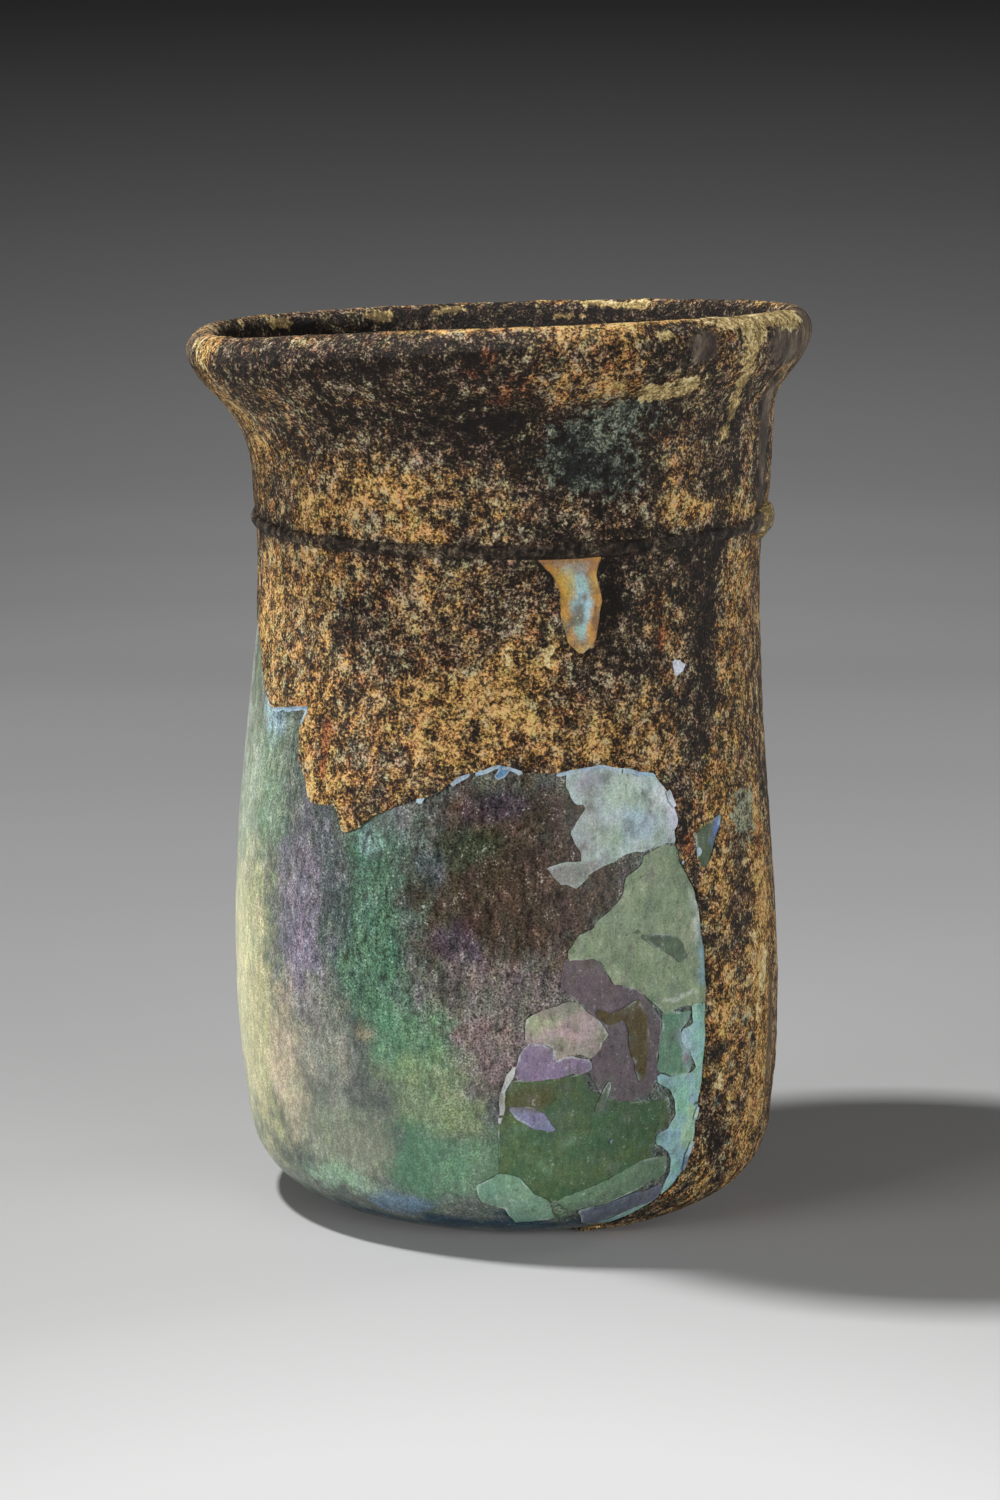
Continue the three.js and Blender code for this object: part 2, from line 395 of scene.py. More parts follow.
# The layers' colours in soft clouds, and at the left edge a painted sheen: each a hex colour, angle and
# height of its middle, half width and half height in millimetres, and how far it covers what is under it
GLASS_GROUND = "#59605a"
GLASS_CLOUDS_AND_SHEEN = [
    ("#767e67", -95, 30, 22, 40, 0.8),
    ("#74896e", -62, 48, 5, 6, 0.8),
    ("#6c7b6b", -57, 50, 4, 7, 0.7),
    ("#8199a0", -62, 57, 3, 2.5, 0.9),
    # These four pale clouds at the left edge are partly the glass's own pale layers and partly a painted
    # sheen of the light from the left.
    ("#c4c29c", -76, 26, 6, 18, 1),
    ("#949f8c", -76, 46, 5, 9, 0.9),
    ("#b5b28a", -64, 22, 4, 14, 0.8),
    ("#a3a9a4", -86, 56, 3, 10, 0.8),
    ("#43382e", 3, 40, 12, 15, 1),
    ("#6b645f", 0, 26, 10, 8, 0.9),
    ("#6f6b74", -46, 37, 4.5, 13, 1),
    ("#776f80", -45, 31, 2.6, 6, 0.7),
    ("#405a4a", -28, 38, 5, 12, 0.9),
    ("#4b6b55", -27, 32, 3.2, 8, 0.8),
    ("#355743", -31, 43, 3, 3.5, 0.7),
    ("#4a4f50", -37, 40, 2, 8, 0.7),
    ("#5b625b", -51, 51, 1.8, 6, 0.8),
    ("#4e4356", -8, 34.5, 2.4, 2.2, 0.5),
    ("#3a303c", 0, 49.5, 3, 2, 0.7),
    ("#33402f", -8, 45, 3.6, 2.4, 0.6),
    ("#4c5559", -14.8, 43.5, 1.6, 2.4, 0.6),
    ("#62807a", -28.5, 44.8, 1.7, 1.7, 0.7),
    ("#6a605d", -8, 22, 5, 4, 0.8),
    ("#b0a68e", -52, 19, 3.6, 8, 0.9),
    ("#818378", -41, 22, 4, 7, 0.8),
    ("#8f8060", -30, 24.4, 1.2, 1.3, 0.5),
    ("#587f61", -19, 24, 4, 4, 0.8),
    ("#748866", -17, 18.5, 5, 4.5, 0.8),
    ("#6f7a55", -10, 16, 2, 3, 0.5),
    ("#868d7a", -38, 11, 6, 4.5, 0.8),
    ("#52785f", -17, 10, 5, 4, 0.8),
    ("#5e7587", -24, 5, 4, 1.4, 0.8),
    ("#607f63", 5, 10, 9, 5, 0.8),
    ("#8aa88e", -40, 6.5, 6, 1.6, 0.7),
    ("#1f3a4a", -8, 2.2, 20, 1.6, 0.9),
    ("#7a7f72", -105, 45, 8, 10, 0.7),
    ("#6b6074", -112, 22, 6, 9, 0.6),
    ("#4d8265", -120, 38, 5, 9, 0.5),
]


def laid_over(colour, clouds, angle, run, points):
    """Colour clouds laid one after another over a colour. Each covers the middle of its ellipse and
    ends in a frayed edge, because noise moves the place and is added to the distance."""
    wander = 2.2 * cloud(points, 7, 11) + 1.2 * cloud(points, 2.4, 14)
    rise = 3.4 * cloud(points, 8, 17) + 1.5 * cloud(points, 2.6, 20)
    frays = [cloud(points, 3.2, seed, 3, 0.7) for seed in (23, 27, 35)]
    for order, (code, at_angle, at_height, width, tall, cover) in enumerate(clouds):
        off = (((angle - at_angle + 180) % 360 - 180) * MM_PER_DEGREE + wander) / width
        up = (run + rise - run_at(at_height)) / tall
        share = cover * ease(1.5 - 1.05 * np.hypot(off, up) + 0.9 * frays[order % 3])
        colour = colour + share[:, None] * (linear(code) - colour)
    return colour


def glass_tint(angle, run, points):
    """The bare glass's colour: its clouds laid over the ground, with a painted sheen among them at the left
    edge.
    """
    return laid_over(np.tile(linear(GLASS_GROUND), (len(angle), 1)), GLASS_CLOUDS_AND_SHEEN, angle, run, points)


def glass_wave(points):
    """Low waves that the hand leaves in blown glass."""
    return 0.12 * cloud(points, 16, 31, 2)


row_run = np.concatenate([
    np.arange(GLASS_COARSE_STEP, 14, GLASS_COARSE_STEP),
    np.arange(14, run_at(72), GLASS_FINE_STEP),
    np.arange(run_at(72), FLOOR_RUN - GLASS_COARSE_STEP / 2, GLASS_COARSE_STEP),
])
column_angle = np.concatenate([
    np.arange(-180, -128, GLASS_COARSE_STEP / MM_PER_DEGREE),
    np.arange(-128, 50, GLASS_FINE_STEP / MM_PER_DEGREE),
    np.arange(50, 178.5, GLASS_COARSE_STEP / MM_PER_DEGREE),
])
wall_angle, wall_run = (part.ravel() for part in np.meshgrid(column_angle, row_run))
surface = place(wall_angle, wall_run, 0)
outside = ease((CREST_RUN + 2 - wall_run) / 4)
wall_lift = -LINING + (LINING - CRUST) * outside + glass_wave(surface)
poles = place(np.zeros(2), np.array([0, FLOOR_RUN]), np.array([-CRUST, -LINING]))
wall_points = np.vstack([place(wall_angle, wall_run, wall_lift), poles])
index = np.arange(len(wall_angle)).reshape(len(row_run), len(column_angle))
onward = np.roll(index, -1, axis=1)
wall_faces = [
    np.stack([index[:-1], onward[:-1], onward[1:], index[1:]], -1).reshape(-1, 4),
    np.stack([onward[0], index[0], np.full(len(column_angle), index.size)], -1),
    np.stack([index[-1], onward[-1], np.full(len(column_angle), index.size + 1)], -1),
]
wall_tint = np.vstack([glass_tint(wall_angle, wall_run, surface), [linear(GLASS_GROUND)] * 2])

# Where the glass's layers lie even, so that the mottling is faint
wall_calm = np.clip(spots(wall_angle, wall_run, [
    (-80, 34, 16, 34, 0.55), (-42, 14, 16, 12, 0.35), (-8, 9, 18, 10, 0.5), (-24, 22, 8, 6, 0.2),
]), 0, 0.75)
glass_wall = mesh_piece(
    "glass_wall", wall_points, wall_faces, bare_glass("buried soda-lime glass", 0.5, 0.75, 0.6),
    tint=wall_tint, calm=np.concatenate([wall_calm, [0, 0]]),
)
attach(glass_wall, "root")
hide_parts("beaker")

# The weathering crust of the body: the outer skin of the glass, turned brown and grainy in the
# ground, with ochre earth grown into it. It has flaked off the front in one big patch.
BODY_COLUMNS = 330
CRUST_STEP = 0.56
CRUST_SINK = 0.5
BASE_RING = 17
THREAD_HEIGHT = 77.9
THREAD_SLANT = 1.6

FLAKED_PATCH = [
    (-80, 67), (-72, 64.5), (-66, 59.5), (-62, 58), (-54, 58), (-46, 58.8), (-49, 56.5), (-49, 53),
    (-46, 51), (-44, 48.5), (-37, 48.5), (-34.5, 45.7), (-31, 46.4), (-28, 48), (-23, 49), (-17, 50),
    (-12, 51.5), (-8, 53), (-1, 54), (4, 53), (11, 53), (20, 53.5), (28, 53), (33, 52), (37, 50),
    (39, 47), (38, 44.5), (40, 41.5), (43, 39), (44, 35.5), (45, 31), (45, 26.5), (44, 20), (43, 16),
    (42, 11), (40, 8), (37, 6), (33, 4), (27, 2.3), (22, 1), (18, -0.5), (12, -5), (-95, -5),
    (-112, -1), (-121, 6), (-117, 18), (-124, 27), (-131, 38), (-124, 47), (-127, 55), (-116, 61),
    (-104, 58), (-97, 64), (-88, 69),
]
SPALL = [
    (3, 76.6), (9, 76), (20, 76.3), (19, 73.5), (20.5, 71), (19.5, 68.5), (19, 66.5), (16, 65.3),
    (13, 66.5), (11, 69.5), (11, 72), (9, 74), (6, 75.2),
]
CHIP = [(38, 64.4), (41, 63.8), (43, 63.2), (39, 62.2)]
SPLIT = [
    (44, 45.3), (46.6, 45.9), (49.6, 46.4), (52.6, 46.9), (51.3, 45.3), (49.6, 44.1), (48.2, 42.6),
    (46.6, 41.3), (44.8, 41.2), (44.2, 43.1),
]

# Where ochre earth lies thick and where it is scarce, down to bare dark pits, and three spots of painted
# highlight at the left edge of the neck: the angle and height of a spot's middle, its half width and half
# height in millimetres, and its strength
OCHRE_AND_HIGHLIGHT_SPOTS = [
    (-58, 57, 5, 3, 0.5), (-51, 84.4, 4.5, 1.6, 0.4), (-37, 82.6, 4.3, 2.5, 0.4),
    (-21, 83.9, 4, 2.2, 0.2), (-13, 81.9, 4, 2.5, 0.2), (-2, 85, 2.5, 2.5, -0.2),
    (-28, 80.6, 4, 1.6, 0.1), (-8, 79.2, 4, 1.2, -0.2), (9, 98.2, 1.8, 1.4, 0.7),
    (15, 99, 2.4, 1.4, 0.5), (21, 98.6, 2.8, 1.6, 0.4), (8, 95.6, 1.6, 1.8, 0.3),
    (14, 95.4, 3.4, 2.4, 0.3), (21, 95.5, 3.2, 2.6, 0.2), (19, 93.2, 2.8, 1, 0.6),
    (26, 93.3, 3.2, 0.8, 0.4), (11, 92.2, 2.4, 1, 0.4), (35, 80.4, 1.6, 1.5, 0.9),
    (43, 80.4, 2, 1.5, 0.8), (12, 81.7, 2.2, 2, 0.5), (43, 84, 2, 2, -0.4), (55, 83.6, 3, 3, -0.2),
    (58, 80.3, 2.6, 1.3, 0.3), (-43, 71.4, 4.7, 3.4, 0.3),
    (-19, 71.1, 4.8, 3.4, 0.2), (-1, 69.2, 2.3, 4.5, 0.3), (-35, 62, 4.5, 3, 0.4),
    (-22, 56.5, 7, 4, 0.7), (-36, 52.5, 4.5, 3, 0.5), (-5, 58.5, 6, 3.5, 0.5), (11, 58, 6, 3.5, 0.5),
    (24, 56.5, 5, 3, 0.7), (34, 60, 4, 3.5, 0.3), (53, 64.4, 3, 4.5, 0.2), (62, 58.4, 3, 4.5, 0.3),
    (31, 68.6, 2.7, 4.5, 0.1), (10, 63.5, 1, 3, 0.6), (0, 64, 1.2, 2, 0.9), (55, 47.9, 2.4, 2.5, 0.5),
    (61, 45.2, 2.4, 2, 0.5), (53, 37, 2.7, 3.4, 0.3), (62, 28.3, 2.5, 4.5, 0.5), (66, 14, 3.5, 7, 0.9),
    (59, 8.6, 2, 4, 0.7), (47, 4.5, 2.5, 2.5, 0.9), (35, 1, 5, 1.2, 0.9), (-60, 91, 5, 4, -0.5),
    (-25, 92, 8, 4, -0.6), (38, 90, 4, 3, -0.8), (60, 92, 4, 3, -0.5), (15, 86, 7, 5, -0.8),
    (28, 70, 2.4, 6, -0.5), (44, 62, 2.4, 8, -0.6), (28, 74, 4, 2, -0.8), (66, 74, 3, 6, 0.9),
    (45, 25, 1.6, 12, -0.3), (-30, 73.5, 6, 1, -0.3), (5, 73, 4, 2, -0.4), (-4, 89.5, 8, 3, -1.8),
    (16, 84, 7, 4, -0.8), (-62, 82, 5, 4, -0.8), (70, 84, 3, 6, -1), (45, 73, 3, 4, -0.8),
    (20, 73.5, 1.6, 4, -1), (67, 40, 2, 7, 0.9), (66, 22, 2, 6, 0.7), (48, 12, 1.4, 6, -0.8),
    (-43, 67.1, 1.3, 1.6, 0.5), (13, 81.2, 1.1, 1.6, 0.8), (-34.2, 46.6, 1.5, 1.6, 0.3),
    (28, 60.8, 1.8, 1.8, 0.6), (18.3, 55.3, 1.6, 1.4, 0.6), (35.7, 55.5, 2.4, 2.4, 0.5),
    (22.8, 70.5, 1.3, 3.4, -1.6), (48.5, 64.7, 1.7, 7, -1.4), (46.5, 79.5, 1, 1, 0.8),
    (-22.2, 54.1, 1.4, 1.4, -0.9), (-27.5, 50.5, 0.5, 0.6, -2), (-20.3, 57.6, 0.5, 0.6, -2),
    (60, 66, 2.4, 6, 0.3), (73.7, 47.5, 0.9, 5.4, -0.8), (45.4, 54.6, 1.4, 2.4, -1.3),
    (59.5, 54.2, 1, 1.2, 0.9), (44.8, 39.3, 0.6, 1.4, 0.9), (50.6, 39.2, 0.8, 1.8, 1.2),
    (55.3, 41.2, 1, 1, 0.8), (46.9, 24, 1.5, 2.2, 0.8), (49, 20.7, 0.7, 1, -2.4),
    (54.7, 21, 2, 4, -0.2), (50, 10.4, 1.3, 1.2, -2), (44.3, 8.5, 0.8, 2.2, 0.9),
    (52.7, 5.7, 1.2, 2, -1.2), (59.1, 4.3, 0.7, 1.6, 1), (42.3, 5.7, 0.6, 1, -2),
    (62, 21, 0.6, 2.4, -1.2), (60, 17, 0.6, 2.6, -1.1), (58, 13, 0.6, 2.6, -1.2),
    (69.4, 19.6, 1.4, 4, 0.9), (61.4, 45.8, 2.6, 3, 0.6), (50, 86, 5, 5, -0.3),
    (39.8, 46.4, 0.5, 0.9, -1.4), (43.2, 40.2, 0.5, 1.6, -2), (44.9, 37.2, 0.5, 1, -1.4),
    (46, 33.6, 0.5, 1, -1.4), (45.4, 25.2, 0.5, 0.9, -1.4), (45.8, 20.8, 0.6, 1.2, -1.6),
    (48.5, 27, 2, 11, 0.8), (69, 30, 3, 14, 0.9), (-20, 83, 3, 2, 0.6), (-52, 97, 5, 3, -0.8),
    (-36, 97, 5, 2.5, -0.8), (-18, 96.3, 7, 3, -1.3), (-3, 97.2, 5, 3, -1.2), (15, 96.5, 2, 2, -0.5),
    # The spots at (-68, 88), (-64, 75) and (-70, 66) are a painted highlight: pale ochre where light from the
    # left glances off the neck's edge.
    (32, 96, 3, 3, -0.7), (25, 90.5, 3, 1.6, -0.7), (54, 96, 2.5, 2, -0.5), (-68, 88, 4, 8, 0.8),
    (-64, 75, 5, 9, 0.8), (-70, 66, 3, 6, 0.6), (-47, 78, 4, 4, 1.3), (-21, 77, 5, 2, 1.3),
    (-14, 62, 3, 3, 0.8), (-9, 55, 4, 2, 1), (3, 63, 3, 4, 1.2), (-47, 58, 3, 3, 1),
    (-42, 50.5, 3, 3, 0.9), (-30, 66, 4, 5, -0.6), (-30, 54.5, 6, 1.6, -0.8), (0, 70, 5, 2, -0.7),
    (18, 63, 8, 5, -0.6), (28, 66, 3, 5, -0.4), (8, 80, 3, 3, -0.9), (34, 79.8, 6, 2, -0.5),
    (55, 86, 2, 5, -0.8), (-46, 83, 2, 2, -1.2), (-18, 87.5, 3, 2, -0.8), (-35, 87, 3, 3, -0.3),
    (45, 54, 3, 2, -0.3), (-12, 99.8, 9, 0.6, 1.3), (22, 99.8, 8, 0.8, 1.4), (-67, 98.8, 3, 2, 1.1),
    (130, 60, 14, 12, 0.4), (-150, 75, 12, 10, 0.4), (170, 30, 14, 14, 0.4), (100, 20, 8, 14, 0.4),
]


def from_outline(angle, run, outline):
    """How far inside a closed outline a place is, in millimetres along the surface: the distance to
    its nearest side, below 0 outside. The outline is a list of angles and heights."""
    corners = np.array(outline, float)
    start = np.stack([corners[:, 0] * MM_PER_DEGREE, run_at(corners[:, 1])], 1)
    end = np.roll(start, -1, axis=0)
    side = end - start
    spot = np.stack([angle * MM_PER_DEGREE, run], -1).reshape(-1, 1, 2)
    share = np.clip(((spot - start) * side).sum(-1) / (side**2).sum(-1), 0, 1)
    distance = np.linalg.norm(spot - start - share[..., None] * side, axis=-1).min(axis=1)
    crosses = (start[:, 1] > spot[..., 1]) != (end[:, 1] > spot[..., 1])
    rise = np.where(side[:, 1] == 0, 1, side[:, 1])
    crosses &= spot[..., 0] < start[:, 0] + (spot[..., 1] - start[:, 1]) / rise * side[:, 0]
    inside = crosses.sum(axis=1) % 2 == 1
    return np.where(inside, distance, -distance).reshape(angle.shape)


def broken_grid(angle, run, level, closed):
    """Cuts a grid of angles and runs along the line where the level is 0 and keeps what is above.
    On each grid line that crosses it, the nearer end moves onto the crossing. A quad is split so
    that no triangle has corners on both sides. Gives the kept places, triangles and open edges."""
    angle, run, level = angle.copy(), run.copy(), level.copy()
    best = np.full(level.shape, np.inf)
    move = np.zeros((*level.shape, 2))
    for axis in (0, 1):
        other = np.roll(level, -1, axis)
        step = np.stack([
            (np.roll(angle, -1, axis) - angle + 180) % 360 - 180, np.roll(run, -1, axis) - run,
        ], -1)
        crossing = level * other < 0
        if axis == 0:
            crossing[-1] = False
        elif not closed:
            crossing[:, -1] = False
        share = np.divide(level, level - other, out=np.ones_like(level), where=crossing)
        near = np.where(crossing & (share <= 0.5), share, np.inf)
        far = np.roll(np.where(crossing & (share > 0.5), 1 - share, np.inf), 1, axis)
        for size, way in ((near, step), (far, -np.roll(step, 1, axis))):
            closer = size < best
            best[closer] = size[closer]
            move[closer] = size[closer][:, None] * way[closer]
    moved = best < np.inf
    angle[moved] += move[moved][:, 0]
    run[moved] += move[moved][:, 1]
    level[moved] = 0
    index = np.arange(level.size).reshape(level.shape)
    if closed:
        index = np.column_stack([index, index[:, 0]])
    a, b, c, d = index[:-1, :-1], index[:-1, 1:], index[1:, 1:], index[1:, :-1]
    flat = level.ravel()
    turned = (flat[a] * flat[c] < 0)[..., None]
    triangles = np.concatenate([
        np.where(turned, np.stack([a, b, d], -1), np.stack([a, b, c], -1)).reshape(-1, 3),
        np.where(turned, np.stack([b, c, d], -1), np.stack([a, c, d], -1)).reshape(-1, 3),
    ])
    corners = flat[triangles]
    triangles = triangles[(corners.min(axis=1) >= 0) & (corners.max(axis=1) > 0)]
    used, triangles = np.unique(triangles, return_inverse=True)
    triangles = triangles.reshape(-1, 3)
    edges = np.concatenate([triangles[:, [0, 1]], triangles[:, [1, 2]], triangles[:, [2, 0]]])
    keys = edges @ [len(used), 1]
    rim = edges[~np.isin(keys, edges[:, ::-1] @ [len(used), 1])]
    return angle.ravel()[used], run.ravel()[used], triangles, rim


def shell_piece(name, angle, run, triangles, rim, top, bottom, material, **attributes):
    """A closed thin body: the kept grid at its top lift and again at its bottom lift, turned over,
    with a wall of quads round every open edge."""
    count = len(angle)
    points = np.vstack([place(angle, run, top), place(angle, run, bottom)])
    walls = np.stack([rim[:, 1], rim[:, 0], rim[:, 0] + count, rim[:, 1] + count], 1)
    faces = [triangles, triangles[:, ::-1] + count, walls]
    twice = {title: np.concatenate([values, values]) for title, values in attributes.items()}
    return mesh_piece(name, points, faces, material, np.vstack([rim, rim + count]), **twice)


def thread_run(angle):
    """The run of the wound thread's middle: it slants, lowest in front and highest behind."""
    return run_at(THREAD_HEIGHT + THREAD_SLANT * np.sin(np.radians(angle - 90)))


def crust_finish(angle, run, points):
    """What the crust is made of at each place, and where it carries painted shade and highlight. Ochre
    earth runs from -1.2 where it is scarce to 1.1 where it is thick: noise in clumps, pushed by the
    spots, and less inside. It is lowered along the thread's foot, a painted shadow of the thread, and a
    few spots paint a highlight. The sage and cream films, the rust and the smooth glassy skin run from 0 to
    1."""
    clumps = 0.75 * cloud(points, 7, 41, 4, 0.62) + 0.3 * cloud(points, 1.8, 47, 3, 0.6)
    inside = ease((run - CREST_RUN - 0.5) / 2)
    # A painted shadow: the crust and the thread are darkened along the thread's foot, a dark line where the
    # thread would shade the crust.
    thread_painted_shadow = np.exp(-(((run - thread_run(angle)) / 1.3) ** 2))
    ochre = 0.42 + clumps + 0.55 * spots(angle, run, OCHRE_AND_HIGHLIGHT_SPOTS) - 0.9 * inside - 0.7 * thread_painted_shadow
    ochre = np.clip(ochre, -1.2, 1.1)
    sage = spots(angle, run, [
        (18, 87.9, 5.5, 4, 1), (12, 84.9, 3, 2.6, 0.8), (27, 90.8, 4, 2, 0.7), (22, 83.6, 4, 2.3, 0.7),
        (61.4, 45.8, 2.6, 3, 1.7), (48.3, 15, 0.9, 0.8, 1), (-140, 84, 6, 5, 0.8), (150, 50, 5, 6, 0.5),
    ])
    cream = spots(angle, run, [
        (52, 99.6, 6, 1.7, 1.4), (67, 99.4, 3.4, 1.7, 1.2), (52, 98.4, 1.2, 1.6, 1.1),
        (50.5, 96.2, 1.2, 2, 1.1), (53, 93.2, 1.2, 2, 1), (54, 90.2, 1.3, 1.8, 0.9),
        (51, 87.6, 1.3, 1.6, 0.7), (29, 92.7, 1.5, 1.3, 1), (37, 93.2, 2.2, 1.4, 1),
        (33, 92.3, 1.8, 0.8, 0.8), (30, 98.4, 1.2, 0.9, 0.8), (-73, 99, 3, 1.2, 0.7),
        (-68, 96.8, 2.5, 1.4, 0.6), (-81, 90, 2.6, 3, 0.4), (-84, 86.5, 2, 3, 0.5),
        (0, 65.2, 0.9, 1.6, 0.8), (9, 66, 0.7, 3, 0.7), (-48, 76.5, 1, 1, 0.6), (110, 92, 5, 1.5, 0.7),
        (-120, 95, 5, 2, 0.6), (175, 90, 4, 3, 0.5), (-125, 101.9, 2.6, 1, 1), (-153, 101.9, 2, 1, 1),
        (-169, 101.5, 2.2, 0.8, 1), (160, 100.8, 2, 0.6, 1), (165, 102.8, 2.6, 0.5, 0.8),
        (152, 101.4, 3, 0.6, 0.9), (52, 33.8, 0.8, 0.7, 0.8), (62.3, 31.9, 1, 0.7, 1),
        (68, 28.9, 0.9, 1.6, 1.1), (66.5, 26.4, 0.9, 1.6, 1.1), (63.5, 24, 0.6, 1.4, 0.9),
        (59.1, 27.4, 1.5, 1, 0.9), (49.4, 17.1, 1.2, 1.1, 0.8), (61.5, 40.6, 0.9, 2, 0.6),
        (148, 101.2, 1, 1, 1), (-110, 101.5, 1.6, 0.6, 0.7), (5.3, 100.3, 0.7, 0.4, 1),
    ])
    rust = spots(angle, run, [
        (-2, 97.3, 1.2, 1.2, 0.7), (-5, 95.4, 1.6, 1.2, 0.6), (3, 94, 2.4, 1.6, 0.6),
        (0, 92.4, 2.4, 1, 0.6), (58, 78, 2, 1, 0.6), (40, 88, 3, 4, 0.3), (-41, 53.5, 0.8, 4.4, 0.9),
        (-40, 56.7, 0.9, 0.9, 0.9), (-49.7, 58.8, 1.6, 0.6, 0.9), (-36.6, 67.2, 0.6, 0.6, 0.9),
        (-27.2, 71.7, 0.6, 0.6, 0.9), (-24.7, 70.1, 0.6, 0.6, 0.9), (68.6, 42.4, 0.7, 3, 1),
        (41.1, 44.2, 1.1, 1.8, 0.9), (50.6, 39, 0.7, 1.4, 0.5), (35.2, 66.8, 0.9, 3, 0.8),
        (38, 97.3, 1.4, 1.6, 0.7), (-140, 60, 5, 5, 0.5),
    ])
    skin = spots(angle, run, [
        (71, 90.4, 2.2, 3, 1), (71, 85, 2, 4, 1), (72, 79.7, 2, 1.6, 0.9), (64, 97, 4.5, 3.4, 1),
        (84, 96.5, 5, 4, 1), (38, 97.2, 2.3, 2.3, 1), (-80, 98, 4, 3, 0.8), (72, 20, 1.6, 12, 0.8),
        (75, 98, 6, 3, 0.8), (72, 70, 1.5, 8, 0.4), (-88, 60, 1.4, 14, 0.4),
    ])
    return ochre, *(np.clip(part, 0, 1) for part in (sage, cream, rust, skin))


def crust_relief(points, ochre, skin):
    """How far the crust stands out from its mean face: ochre clumps stand proud, and grain of 1 to
    4 mm runs over all of it but the smooth skin."""
    rough = 0.1 * cloud(points, 4, 61, 3, 0.6) + 0.07 * cloud(points, 1.3, 65, 2, 0.7)
    return (1 - 0.8 * skin) * (rough + 0.14 * ease(ochre * 1.4 - 0.3) - 0.05)


# Weathered glass crust: brittle iron-brown layers with ochre earth grown into them, which gives a
# dull face peppered with tan and near-black grains of about half a millimetre. Where the outermost
# skin is whole, it is smooth and faintly glossy.
CRUST_LEVEL = -1.69
CRUST_STOPS = (0.22, 0.36, 0.46, 0.54, 0.62, 0.72, 0.84)
CRUST_COLOURS = {
    "ochre": ("#130c06", "#281b10", "#47331f", "#6d502f", "#97733f", "#be965a", "#dfba7c"),
    "grey": ("#120d09", "#231a13", "#3d3026", "#5b4b3b", "#7c6b56", "#a39174", "#cbbb9c"),
    "sage": ("#1d1f1b", "#2b302b", "#434b43", "#59635a", "#6f7a6a", "#85907c", "#a3ab94"),
    "rust": ("#1a0f0b", "#2f1911", "#4a2517", "#6b351f", "#8a4a2b", "#a8663c", "#c08a58"),
    "cream": ("#6b5a3c", "#8a744a", "#a8905c", "#bfa66e", "#d0b97f", "#ddcb99", "#e6dab4"),
}


